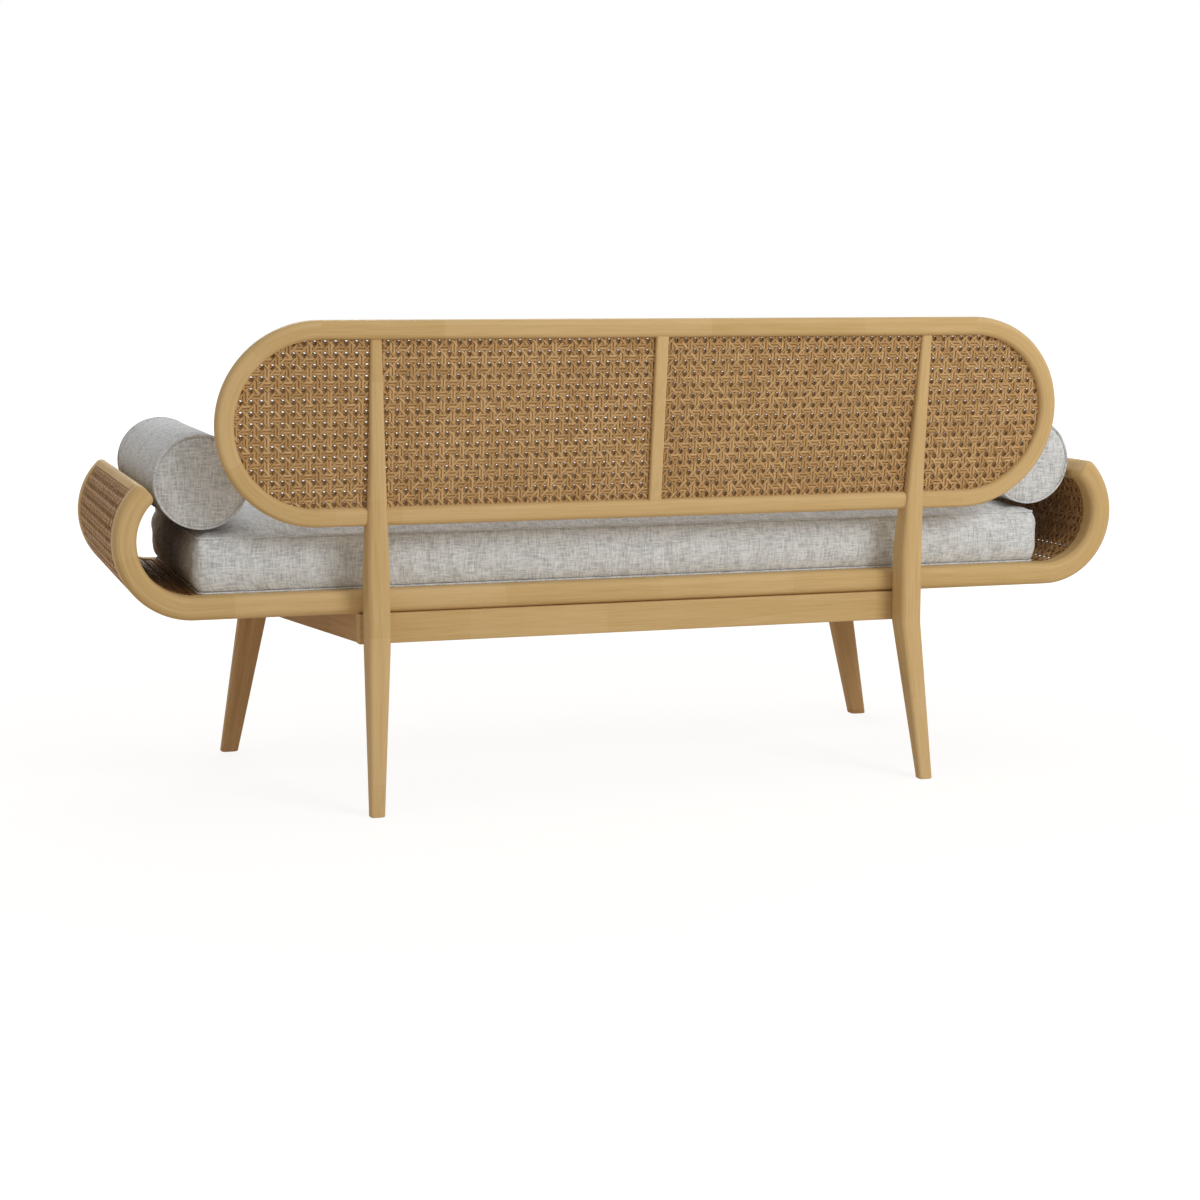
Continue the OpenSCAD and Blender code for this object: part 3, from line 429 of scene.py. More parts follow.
def rail_place():
    """Where the seat rails bend: half their straight length, the height of their middle, a rail's height and
    depth, and the rear and the front rail's middle in depth."""
    low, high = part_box("rear_rail")
    front_low, front_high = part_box("front_rail")
    return (high.x, (low.z + high.z) / 2, high.z - low.z, high.y - low.y,
            (low.y + high.y) / 2, (front_low.y + front_high.y) / 2)


def back_place(s):
    """The back's plane: its middle, the directions up its lean and out to the seat, half the height between
    its members' middles, and how far out the middles of its round ends lie."""
    cos, sin = math.cos(s.back_lean), math.sin(s.back_lean)

    def reach(a, b):
        return (a / 2 - s.ring_rounding) * cos + (b / 2 - s.ring_rounding) * sin + s.ring_rounding
    mid = s.ring_height / 2 - s.ring_width / 2
    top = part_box("back_top_rail")[1]
    z = top.z - reach(s.ring_width, s.ring_depth) - mid * cos
    y = top.y - reach(s.ring_depth, s.ring_width) - mid * sin
    end_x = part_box("back_end_left")[1].x - s.ring_height / 2
    return np.array([0, y, z]), np.array([0, sin, cos]), np.array([0, -cos, sin]), mid, end_x


def rear_leg_line(s):
    """Stations up a rear leg: height, and then middle in length and depth, width and depth of its section,
    in metres. Below the knee they lie on straight lines; above it cubic Hermite curves run through them and
    start upright."""
    origin, up, _, _, _ = back_place(s)
    _, mid_z, tall, deep, rear_y, _ = rail_place()

    def plane(h):
        return origin[1] + h * up[1], origin[2] + h * up[2]
    knee_x, knee_wide, knee_deep = 0.472, 0.038, 0.049
    knee_y = rear_y + deep / 2 + knee_deep / 2
    foot_out, foot_wide, foot_deep = 0.015, 0.024, 0.021
    foot_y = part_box("rear_leg_left")[1].y - foot_deep / 2
    top_out = 0.0065
    apron_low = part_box("rear_apron")[0].z
    waist, blade = plane(-s.ring_height / 2), plane(-s.ring_height / 5)
    top = plane(s.ring_height / 2 - s.ring_width + s.ring_width / 3)
    stations = np.array([
        [0, knee_x + foot_out, foot_y, foot_wide, foot_deep],
        [apron_low, knee_x, knee_y, knee_wide, knee_deep],
        [mid_z + tall / 2 + 0.015, knee_x, knee_y, knee_wide, knee_deep],
        [waist[1], knee_x + 0.001, waist[0], 0.0335, 0.041],
        [blade[1], knee_x + top_out / 3, blade[0], 0.027, 0.030],
        [top[1], knee_x + top_out, top[0] - 0.003, 0.0185, 0.018]])
    h, v = stations[:, 0], stations[:, 1:]
    slope = np.zeros_like(v)
    slope[3:5] = (v[4:6] - v[2:4]) / (h[4:6] - h[2:4])[:, None]
    slope[5] = (v[5] - v[4]) / (h[5] - h[4])
    counts = ((1, 6), (2, 12), (3, 14), (4, 16))
    z = np.concatenate([FOOT_HEIGHTS, np.linspace(0.02, h[1], 14)] +
                       [np.linspace(h[k], h[k + 1], count)[1:] for k, count in counts])
    k = np.clip(np.searchsorted(h, z, side="right") - 1, 0, 4)
    gap = (h[k + 1] - h[k])[:, None]
    t = (z - h[k])[:, None] / gap
    bent = (v[k] * (2 * t ** 3 - 3 * t ** 2 + 1) + v[k + 1] * (3 * t ** 2 - 2 * t ** 3)
            + gap * slope[k] * (t ** 3 - 2 * t ** 2 + t) + gap * slope[k + 1] * (t ** 3 - t ** 2))
    straight = v[k] + (v[k + 1] - v[k]) * t
    return z, np.where(k[:, None] < 2, straight, bent)


def bolster_axis():
    """Where the left bolster lies: its middle in length and height, its ends in depth and its radius."""
    low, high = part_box("bolster_left")
    return (low.x + high.x) / 2, (low.z + high.z) / 2, low.y, high.y, (high.x - low.x) / 2


# Operators: one for each piece or group of like pieces

class SOFA_OT_bent_rails(Operator):
    """Seat rails and the hoops that carry on from them into the arms.
    A straight rail, then an arc about the bend's middle; the section is a rectangle well rounded on its
    outer side. Within a tip rounding of the end the section narrows as a quarter circle"""
    bl_idname = "sofa.bent_rails"
    bl_label = "Bent rails"

    def execute(self, context):
        s = context.scene.sofa_sizes
        bend_x, mid_z, tall, deep, rear_y, front_y = rail_place()
        x = np.linspace(-bend_x, bend_x, 13)
        tip = s.tip_rounding / s.bend_radius
        tip_angles = np.radians(np.linspace(15, 90, 6))
        a = np.concatenate([np.linspace(0, s.arm_sweep - tip, 40),
                            s.arm_sweep - tip * (1 - np.sin(tip_angles))])
        left = np.clip((s.arm_sweep - a) / tip, 0, 1)
        end_tall = tall - 2 * s.tip_rounding * quarter(left)
        end_deep = deep - 2 * 0.0015 * quarter(left * 6)
        radial = np.stack([np.cos(a - math.pi / 2), 0 * a, np.sin(a - math.pi / 2)], 1)
        for place, y in (("rear", rear_y), ("front", front_y)):
            radii = (s.rail_rounding, s.inner_rounding) if y > 0 else (s.inner_rounding, s.rail_rounding)
            n = len(x)
            section, around = rounded_section(n, tall, deep, *radii)
            centre = np.stack([x, np.full(n, y), np.full(n, mid_z)], 1)
            rail = swept(f"{place}_rail_bent", centre, still((0, 0, -1), n), still((0, 1, 0), n),
                         section, around, x + y)
            frame_part(rail, f"{place}_rail")
            n = len(a)
            end_radii = [np.minimum(radius, end_tall / 2 - 0.001) for radius in radii]
            section, around = rounded_section(n, end_tall, end_deep, *end_radii)
            centre = np.array([bend_x, y, mid_z + s.bend_radius]) + s.bend_radius * radial
            for side, sign in SIDES:
                hoop = swept(f"{place}_hoop_bent_{side}", mirrored(centre, sign), mirrored(radial, sign),
                             still((0, 1, 0), n), section, around, sign * (bend_x + s.bend_radius * a) + y)
                frame_part(hoop, f"arm_hoop_{place}_{side}")
        return {"FINISHED"}


class SOFA_OT_back_ring(Operator):
    """The long ring of the back with its round ends.
    Straight members and half circles in the leaning plane carry one rounded section"""
    bl_idname = "sofa.back_ring"
    bl_label = "Back ring"

    def execute(self, context):
        s = context.scene.sofa_sizes
        origin, up, face, mid, end_x = back_place(s)
        leg_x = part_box("back_bottom_rail")[1].x + 0.004
        stub_x = leg_x + 0.018

        def member(name, x, h, radial, start, node):
            n = len(x)
            section, around = rounded_section(n, s.ring_width, s.ring_depth, s.ring_rounding)
            centre = origin + x[:, None] * np.array([1, 0, 0]) + h[:, None] * up
            steps = np.linalg.norm(np.diff(centre, axis=0), axis=1)
            along = start + np.concatenate([[0], np.cumsum(steps)])
            frame_part(swept(name, centre, radial, still(face, n), section, around, along), node)

        line = np.linspace(-end_x, end_x, 9)
        member("back_top_rail_round", line, np.full(9, mid), still(up, 9), 0.0, "back_top_rail")
        line = np.linspace(-leg_x, leg_x, 9)
        member("back_bottom_rail_round", line, np.full(9, -mid), still(-up, 9), 7.0, "back_bottom_rail")
        turn = np.linspace(math.pi / 2, -math.pi / 2, 65)
        for side, sign in SIDES:
            radial = np.cos(turn)[:, None] * np.array([sign, 0, 0]) + np.sin(turn)[:, None] * up
            member(f"back_end_round_{side}", sign * (end_x + mid * np.cos(turn)), mid * np.sin(turn), radial,
                   3.0 + sign, f"back_end_{side}")
            line = sign * np.linspace(end_x, stub_x, 5)
            member(f"back_stub_round_{side}", line, np.full(5, -mid), still(-up, 5), 5.0 + sign,
                   f"back_stub_{side}")
        return {"FINISHED"}


class SOFA_OT_legs(Operator):
    """Four tapered legs.
    A rounded rectangle whose middle, width and depth change with height; the rear legs sweep up into
    the back"""
    bl_idname = "sofa.legs"
    bl_label = "Legs"

    def execute(self, context):
        low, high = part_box("front_leg_left")
        foot_wide, foot_deep, wider, deeper = 0.031, 0.029, 0.025, 0.015
        top_x, foot_x = 0.570, high.x - foot_wide / 2
        front_z = np.concatenate([FOOT_HEIGHTS, np.linspace(0.02, high.z, 12)])
        share = front_z / high.z
        front = np.stack([foot_x + (top_x - foot_x) * share, np.full(len(share), (low.y + high.y) / 2),
                          foot_wide + wider * share, foot_deep + deeper * share], 1)
        rear_z, rear = rear_leg_line(context.scene.sofa_sizes)
        # The front legs take the redder oak, which is painted warm shade
        for place, z, line, rounding, start, key in (("rear", rear_z, rear, 0.24, 2.6, "oak UV"),
                                                     ("front", front_z, front, 0.30, 4.1, "heart UV")):
            n = len(z)
            ease = FOOT_ROUNDING * quarter(z / FOOT_ROUNDING)
            wide, deep = line[:, 2] - 2 * ease, line[:, 3] - 2 * ease
            section, around = rounded_section(n, wide, deep, np.minimum(wide, deep) * rounding, steps=6)
            centre = np.stack([line[:, 0], line[:, 1], z], 1)
            for side, sign in SIDES:
                leg = swept(f"{place}_leg_tapered_{side}", mirrored(centre, sign), still((sign, 0, 0), n),
                            still((0, 1, 0), n), section, around, z + start + sign)
                frame_part(leg, f"{place}_leg_{side}", key)
        return {"FINISHED"}


def board(name, start, end, low, high, thick, beside, slant, node):
    """A planed board of the base from one plan point to another: a rectangle with 2 mm roundings carried
    along a straight line. Its ends lie along beside, and slant pulls one edge of each end in."""
    n = 9
    t = np.linspace(0, 1, n)[:, None]
    plan = np.array(start) * (1 - t) + np.array(end) * t
    centre = np.column_stack([plan, np.full(n, (low.z + high.z) / 2)])
    side = np.column_stack([np.broadcast_to(beside, (n, 2)), np.zeros(n)]).astype(float)
    side[:, 0] -= np.linspace(-1, 1, n) * slant / thick * 0.5
    section, around = rounded_section(n, high.z - low.z, thick, 0.002, steps=3)
    along = np.linalg.norm(plan - plan[0], axis=1) + 1.7 * plan[0, 0] + plan[0, 1]
    piece = swept(name, centre, still((0, 0, 1), n), side, section, around, along)
    # The side aprons take the redder oak, which is painted warm shade
    frame_part(piece, node, "heart UV" if node.startswith("side") else "oak UV")


class SOFA_OT_timber(Operator):
    """Straight timber of the base, seat and arms.
    The aprons are boards with rounded edges; the arms' bars, the back's stile, the fixings and what the
    cushion hides keep their CAD mesh"""
    bl_idname = "sofa.timber"
    bl_label = "Base and seat timber"

    def execute(self, context):
        for node, slant in (("rear_apron", 0.0028), ("front_apron", 0)):
            low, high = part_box(node)
            y = (low.y + high.y) / 2
            board(f"{node}_planed", (low.x, y), (high.x, y), low, high, high.y - low.y, (0, 1), slant, node)
        low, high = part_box("side_apron_left")
        rear_low, rear_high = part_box("rear_apron")
        flare = (high.x - rear_high.x) / (high.y - low.y)
        thick = (rear_high.y - rear_low.y) * math.sqrt(1 + flare ** 2)
        for side, sign in SIDES:
            start, end = (sign * (high.x - thick / 2), low.y), (sign * (rear_high.x - thick / 2), high.y)
            board(f"side_apron_planed_{side}", start, end, low, high, thick, (1, 0), 0, f"side_apron_{side}")
        both_sides = {"arm_top_bar": "oak Y", "arm_crossbar": "beech Y", "seat_cross_rail": "beech Y"}
        kept = {f"{name}_{side}": key for name, key in both_sides.items() for side, _ in SIDES}
        kept |= {f"seat_slat_{i}": "beech Y" for i in range(1, 10)}
        kept |= {"back_middle_stile": "oak Z", "base_stretcher": "beech Y", "ledger_front": "beech X",
                 "ledger_rear": "beech X", "corner_blocks": "beech Z", "frame_dowels": "beech X",
                 "leg_bolts": "steel", "slat_screws": "steel"}
        for node, key in kept.items():
            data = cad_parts[node].data
            data.materials.clear()
            data.materials.append(finish(key))
        return {"FINISHED"}


def woven(name, place, inside, spans, key, node, seed, shift=(0.0, 0.0), gauge=1.0):
    """Six-way cane over the part of a flat chart (p, q) where inside is true. Upright pairs of strands stand
    at p = i a, level pairs at q = (j + 1/2) b, and single diagonals where p / a plus or minus q / b is
    whole. The height of a pair is a cosine that changes sign from one crossing to the next, so upright pairs
    pass over and under level ones, and each diagonal passes over one set of pairs and under the other. A
    strand's corners are place(p + w n_p, q + w n_q, h + t), where n is square to the strand. shift moves the
    pattern in its bay and gauge widens its strands."""
    s = bpy.context.scene.sofa_sizes
    a, b, d = s.cane_across, s.cane_up, s.pair_spacing * gauge
    (p0, p1), (q0, q1) = ((low - move, high - move) for (low, high), move in zip(spans, shift))
    pair_rise, diagonal_rise = 0.0003, 0.0006
    stray, uneven = 0.00018, 0.05
    rng = np.random.default_rng(seed)
    i = np.arange(math.floor(p0 / a), math.ceil(p1 / a) + 1)
    j = np.arange(math.floor(q0 / b) - 1, math.ceil(q1 / b) + 1)
    k = np.arange(math.floor(p0 / a + q0 / b) - 1, math.ceil(p1 / a + q1 / b) + 2)
    l = np.arange(math.floor(p0 / a - q1 / b) - 1, math.ceil(p1 / a - q0 / b) + 2)
    upright = np.repeat(i, 2) * a + np.tile([-d / 2, d / 2], len(i))
    level = (np.repeat(j, 2) + 0.5) * b + np.tile([-d / 2, d / 2], len(j))

    def pairs(numbers, rise, along):
        turns = rise * (-1.0) ** np.repeat(numbers, 2)[:, None]
        return lambda p, q, kept: turns[kept] * np.cos(np.pi * along(p, q))

    def diagonals(rise):
        return lambda p, q, kept: rise * np.cos(2 * np.pi * p / a)

    families = [
        (upright, np.zeros(len(upright)), (0, 1), (q0, q1), b / 3,
         pairs(i, pair_rise, lambda p, q: q / b - 0.5)),
        (np.zeros(len(level)), level, (1, 0), (p0, p1), a / 3, pairs(j, -pair_rise, lambda p, q: p / a)),
        (k * a, np.zeros(len(k)), (-a, b), (q0 / b, q1 / b), 0.2, diagonals(diagonal_rise)),
        (l * a, np.zeros(len(l)), (a, b), (q0 / b, q1 / b), 0.2, diagonals(-diagonal_rise))]
    points, faces, maps, values, total = [], [], [], [], 0
    for p_at, q_at, way, (t0, t1), step, height in families:
        way = np.array(way, float)
        jitter = rng.normal(0, stray, len(p_at))[:, None]
        t = np.linspace(t0, t1, 1200)
        mask = inside(p_at[:, None] + way[0] * t + shift[0], q_at[:, None] + way[1] * t + shift[1])
        first = t[mask.argmax(1)]
        last = t[len(t) - 1 - mask[:, ::-1].argmax(1)]
        kept = mask.any(1) & ((last - first) > 0.3 * step)
        if not kept.any():
            continue
        first, last = first[kept, None], last[kept, None]
        n = int(np.ceil((last - first).max() / step)) + 1
        t = first + (last - first) * np.linspace(0, 1, n)
        p, q = p_at[kept, None] + way[0] * t, q_at[kept, None] + way[1] * t
        h = height(p, q, kept)
        reach = np.hypot(*way)
        normal = np.array([way[1], -way[0]]) / reach
        p, q = p + jitter[kept] * normal[0] + shift[0], q + jitter[kept] * normal[1] + shift[1]
        strands = kept.sum()
        wide = gauge * s.strand_width * (1 + rng.normal(0, uneven, strands))[:, None] / 2
        thick = s.strand_depth / 2
        grid = np.stack([place(p + w * wide * normal[0], q + w * wide * normal[1], h + lift * thick)
                         for w, lift in ((1, 0), (0, 1), (-1, 0), (0, -1))], 2)
        index = total + np.arange(strands * n * 4).reshape(strands, n, 4)
        beside = np.roll(index, -1, 2)
        sides = np.stack([index[:, :-1], beside[:, :-1], beside[:, 1:], index[:, 1:]], -1).reshape(-1, 4)
        faces += [sides, index[:, 0, ::-1], index[:, -1]]
        spread = np.array([0.25, 0.5, 0.75, 1.0]) * 2 * s.strand_width
        run = (t - first) * reach + rng.uniform(0, 9, (strands, 1))
        u0, u1 = run[:, :-1, None] + 0 * spread, run[:, 1:, None] + 0 * spread
        v0, v1 = (np.broadcast_to(v, u0.shape) for v in (spread, spread + 0.5 * s.strand_width))
        ends = np.zeros((strands, 4, 2))
        maps += [quad_chart(u0, u1, v0, v1).reshape(-1, 4, 2), ends, ends]
        points.append(grid.reshape(-1, 3))
        values.append(np.repeat(rng.uniform(0, 1, strands), n * 4))
        total += strands * n * 4
    piece = new_piece(name, np.concatenate(points), faces, {"Fibre": maps},
                      values={"strand": np.concatenate(values)})
    dress(piece, key, "frame", "cane", node)


class SOFA_OT_back_cane(Operator):
    """Woven cane of the back: two sheets in each of four bays.
    The chart is the back's leaning plane, p along it and q up its lean"""
    bl_idname = "sofa.back_cane"
    bl_label = "Back cane"

    def execute(self, context):
        s = context.scene.sofa_sizes
        origin, up, face, _, end_x = back_place(s)
        z, leg = rear_leg_line(s)
        half = s.ring_height / 2 - s.ring_width + CANE_LET_IN
        stile_edge, apart = 0.0062, 0.004

        def leg_edge(q, out):
            height = origin[2] + q * up[2]
            return np.interp(height, z, leg[:, 0]) + out * (np.interp(height, z, leg[:, 2]) / 2 + 0.0002)

        def middle_bay(p, q):
            return (p > stile_edge) & (p < leg_edge(q, -1)) & (np.abs(q) < half)

        def end_bay(p, q):
            in_ring = (p < end_x) | (np.hypot(p - end_x, q) < half)
            return (p > leg_edge(q, 1)) & (np.abs(q) < half) & in_ring

        # The seat side's pattern is shifted so that a little light comes through, as in the photograph
        drift = {"mid left": (-0.0023, 0.0068), "mid right": (0.0032, 0.0071),
                 "end left": (-0.0018, 0.0064), "end right": (0.0035, 0.0067)}
        seed = 11
        for layer, offset, gauge in (("rear", -apart / 2, 1.16), ("front", apart / 2, 1.05)):
            for bay, inside, span in (("mid", middle_bay, (0.0, 0.49)), ("end", end_bay, (0.47, 0.72))):
                for side, sign in SIDES:
                    def place(p, q, h, sign=sign, offset=offset):
                        return (origin + (sign * p)[..., None] * np.array([1, 0, 0]) + q[..., None] * up
                                + (offset + h)[..., None] * face)
                    seed += 1
                    woven(f"back_weave_{layer}_{bay}_{side}", place, inside, (span, (-half, half)), "cane",
                          f"back_cane_{layer}_{bay}_{side}", seed,
                          drift[f"{bay} {side}"] if layer == "front" else (0.0, 0.0), gauge)
        return {"FINISHED"}


class SOFA_OT_arm_cane(Operator):
    """Woven cane of the arms: an outer and an inner sheet bent round each arm.
    The chart is unrolled from a cylinder about the bend's middle, p along the depth and q round the arc"""
    bl_idname = "sofa.arm_cane"
    bl_label = "Arm cane"

    def execute(self, context):
        s = context.scene.sofa_sizes
        bend_x, mid_z, _, deep, rear_y, front_y = rail_place()
        low, high = front_y + deep / 2 - CANE_LET_IN, rear_y - deep / 2 + CANE_LET_IN
        middle, width = (low + high) / 2, high - low
        apart, bar_width, gauge = 0.032, 0.016, 1.4
        tip = s.arm_sweep - math.pi / 2 - bar_width / s.bend_radius
        a0, a1 = -math.pi / 2 - CANE_LET_IN / s.bend_radius, tip + CANE_LET_IN / s.bend_radius
        still_pattern = {"left": (0.0, 0.0), "right": (0.0, 0.0)}
        # The inner pattern is shifted so that its openings lie behind the outer sheet's strands
        drift = {"left": (0.0, 0.0023), "right": (0.0021, 0.0)}
        seed = 41
        for layer, r, swell, shifts in (("outer", s.bend_radius + apart / 2, 0.0022, still_pattern),
                                        ("inner", s.bend_radius - apart / 2, 0.0, drift)):
            for side, sign in SIDES:
                def place(p, q, h, r=r, sign=sign, swell=swell):
                    share = np.clip(2 * np.abs(p) / width, 0, 1)
                    ends = np.clip(np.minimum(q / r - a0, a1 - q / r) * r / 0.02, 0, 1)
                    radius = r + h + swell * (1 - share ** 8) * np.sin(ends * math.pi / 2)
                    return np.stack([sign * (bend_x + radius * np.cos(q / r)), middle + p,
                                     mid_z + s.bend_radius + radius * np.sin(q / r)], -1)

                def inside(p, q, r=r):
                    return (np.abs(p) < width / 2) & (q > a0 * r) & (q < a1 * r)
                seed += 1
                spans = ((-width / 2, width / 2), (a0 * r, a1 * r))
                # The arms' darker cane is painted shade
                woven(f"arm_weave_{layer}_{side}", place, inside, spans, "arm_cane",
                      f"arm_cane_{layer}_{side}", seed, shifts[side], gauge)
        return {"FINISHED"}


# Cushions

def shell_grid(x, y, z):
    """Six grids that close a box, on the given lines along each axis: corners, faces that face outwards, and
    each face's own flat map in metres."""
    lines = (x, y, z)
    points, faces, maps, total = [], [], [], 0
    for axis in range(3):
        a, b = lines[(axis + 1) % 3], lines[(axis + 2) % 3]
        for end in (0, -1):
            grid = np.empty((len(a), len(b), 3))
            grid[..., axis] = lines[axis][end]
            grid[..., (axis + 1) % 3] = a[:, None]
            grid[..., (axis + 2) % 3] = b[None]
            index = total + np.arange(len(a) * len(b)).reshape(len(a), len(b))
            quads = np.stack([index[:-1, :-1], index[1:, :-1], index[1:, 1:], index[:-1, 1:]], -1)
            quads = quads.reshape(-1, 4)
            charts = np.delete(grid.reshape(-1, 3), axis, 1)[quads - total]
            if end == 0:
                quads, charts = quads[:, ::-1], charts[:, ::-1]
            points.append(grid.reshape(-1, 3))
            faces.append(quads)
            maps.append(charts)
            total += grid.size // 3
    return merged(np.concatenate(points), faces, maps)


def fill(piece, pinned, swell):
    """Fills a cover with air: cloth held along its seams is blown up by pressure without gravity, and
    each corner keeps its move d shortened to swell * tanh(|d| / swell)."""
    s = bpy.context.scene.sofa_sizes
    count = len(piece.data.vertices)
    before = np.empty(count * 3)
    piece.data.vertices.foreach_get("co", before)
    before = before.reshape(-1, 3)
    group = piece.vertex_groups.new(name="Seams")
    group.add(np.flatnonzero(pinned).tolist(), 1.0, "REPLACE")
    cloth = piece.modifiers.new("Filling", "CLOTH")
    cloth.settings.quality = 6
    cloth.settings.mass = 0.3
    cloth.settings.tension_stiffness = cloth.settings.compression_stiffness = 15
    cloth.settings.shear_stiffness = 5
    cloth.settings.bending_stiffness = 0.5
    cloth.settings.effector_weights.gravity = 0
    cloth.settings.use_pressure = True
    cloth.settings.uniform_pressure_force = s.air
    cloth.settings.vertex_group_mass = "Seams"
    cloth.settings.shrink_min = -0.015
    cloth.collision_settings.use_collision = False
    cloth.point_cache.frame_start, cloth.point_cache.frame_end = 1, s.fill_frames
    for step in range(1, s.fill_frames + 1):
        bpy.context.scene.frame_set(step)
    shown = piece.evaluated_get(bpy.context.evaluated_depsgraph_get())
    after = np.empty(count * 3)
    shown.data.vertices.foreach_get("co", after)
    piece.modifiers.remove(cloth)
    piece.vertex_groups.remove(group)
    bpy.context.scene.frame_set(1)
    move = after.reshape(-1, 3) - before
    size = np.linalg.norm(move, axis=1, keepdims=True) + 1e-9
    return before + move / size * swell * np.tanh(size / swell)


def cover(piece, corners, node):
    """Moves a cover's corners to their filled places, smooths it and dresses it in linen as a piece of the
    body that has its node's name."""
    piece.data.vertices.foreach_set("co", corners.astype(np.float32).ravel())
    piece.data.update()
    smooth = piece.modifiers.new("Soft cover", "SUBSURF")
    smooth.levels = smooth.render_levels = 1
    dress(piece, "linen", node, "upholstery", node)


def piping(name, path, radius, body):
    """Piping: a round section carried along a closed path, pointing away from the path's middle."""
    n, around_steps = len(path), 8
    onward = np.roll(path, -1, 0) - np.roll(path, 1, 0)
    onward /= np.linalg.norm(onward, axis=1, keepdims=True)
    away = path - path.mean(0)
    away -= np.einsum("ij,ij->i", away, onward)[:, None] * onward
    away /= np.linalg.norm(away, axis=1, keepdims=True)
    a = np.linspace(0, 2 * np.pi, around_steps, endpoint=False)
    around = np.broadcast_to(np.stack([np.cos(a), np.sin(a)], 1), (n, around_steps, 2))
    along = np.concatenate([[0], np.cumsum(np.linalg.norm(np.diff(path, axis=0), axis=1))])
    piece = swept(name, path, away, np.cross(onward, away), around * radius, around, along, True, "Weave")
    dress(piece, "linen", body, "upholstery")


def round_plan(points, half_x, half_y, corner):
    """Rounds a rectangle's corners, to one radius for each point: the part d of a point beyond the corner's
    middle becomes d max|d| / |d|."""
    out = points.copy()
    limit = np.array([[half_x, half_y]]) - corner[:, None]
    core = np.clip(points[:, :2], -limit, limit)
    d = points[:, :2] - core
    size = np.linalg.norm(d, axis=1, keepdims=True) + 1e-12
    out[:, :2] = core + d / size * np.abs(d).max(1, keepdims=True)
    return out


def plan_loop(half_x, half_y, corner, centre_y, z):
    """A rounded rectangle as a closed path with points 6 mm apart on its straight sides."""
    parts = []
    for k, (sx, sy) in enumerate(((1, 1), (-1, 1), (-1, -1), (1, -1))):
        a = np.radians(90 * k + np.linspace(0, 90, 9))
        arc = np.stack([sx * (half_x - corner) + corner * np.cos(a),
                        sy * (half_y - corner) + corner * np.sin(a)], 1)
        run = 2 * ((half_x if k % 2 == 0 else half_y) - corner)
        t = np.linspace(0, 1, max(int(run / 0.006), 2) + 1)[1:-1, None]
        parts += [arc, arc[-1] + np.array(((-1.0, 0), (0, -1.0), (1.0, 0), (0, 1.0))[k]) * run * t]
    flat = np.concatenate(parts)
    return np.column_stack([flat[:, 0], flat[:, 1] + centre_y, np.full(len(flat), z)])


def creases(points, half_x, half_y, centre_y, share):
    """Tension folds in the boxing. Each fold is a groove -A exp(-((h - h0 - k c) / w)^2) exp(-c / L) at
    height share h and distance c from the nearest upright edge, and along both seams the cloth draws in by a
    cosine of the distance."""
    beyond = np.stack([half_x - np.abs(points[:, 0]), half_y - np.abs(points[:, 1] - centre_y)], 1)
    away = np.clip(beyond.max(1), 0, None)
    long_side = beyond[:, 1] < beyond[:, 0]
    h = np.clip(share, 0, 1)
    corner = 2 * (points[:, 0] > 0) + (points[:, 1] > centre_y) + 4 * long_side
    deep = np.where(long_side, 0.0016, 0.0034)
    reach = np.where(long_side, 0.055, 0.14)
    steep = np.where(long_side, 1.0, 1.5)
    fold_width, pull_depth, pull_reach = 0.11, 0.0006, 0.16
    gather, long_gather = 0.047, 0.083
    rng = np.random.default_rng(5)
    depth = np.zeros(len(points))
    for middle, slope in ((0.15, 5.5), (0.42, 4.5), (0.70, -4.0), (1.05, -7.0)):
        starts, slopes = middle + rng.normal(0, 0.07, 8), slope * (1 + rng.normal(0, 0.2, 8))
        off = h - starts[corner] - steep * slopes[corner] * away
        depth += deep * np.exp(-(off / fold_width) ** 2) * np.exp(-away / reach)
    run = np.where(long_side, points[:, 0], points[:, 1])
    pull = (np.cos(2 * np.pi * run / gather + 2.2 * np.sin(run * 19))
            + 0.6 * np.cos(2 * np.pi * run / long_gather))
    depth += pull_depth * pull * np.exp(-np.minimum(h, 1 - h) / pull_reach)
    outward = np.stack([np.where(long_side, 0, np.sign(points[:, 0])),
                        np.where(long_side, np.sign(points[:, 1] - centre_y), 0), np.zeros(len(points))], 1)
    return -outward * (depth * (share > 0) * (share < 1))[:, None]


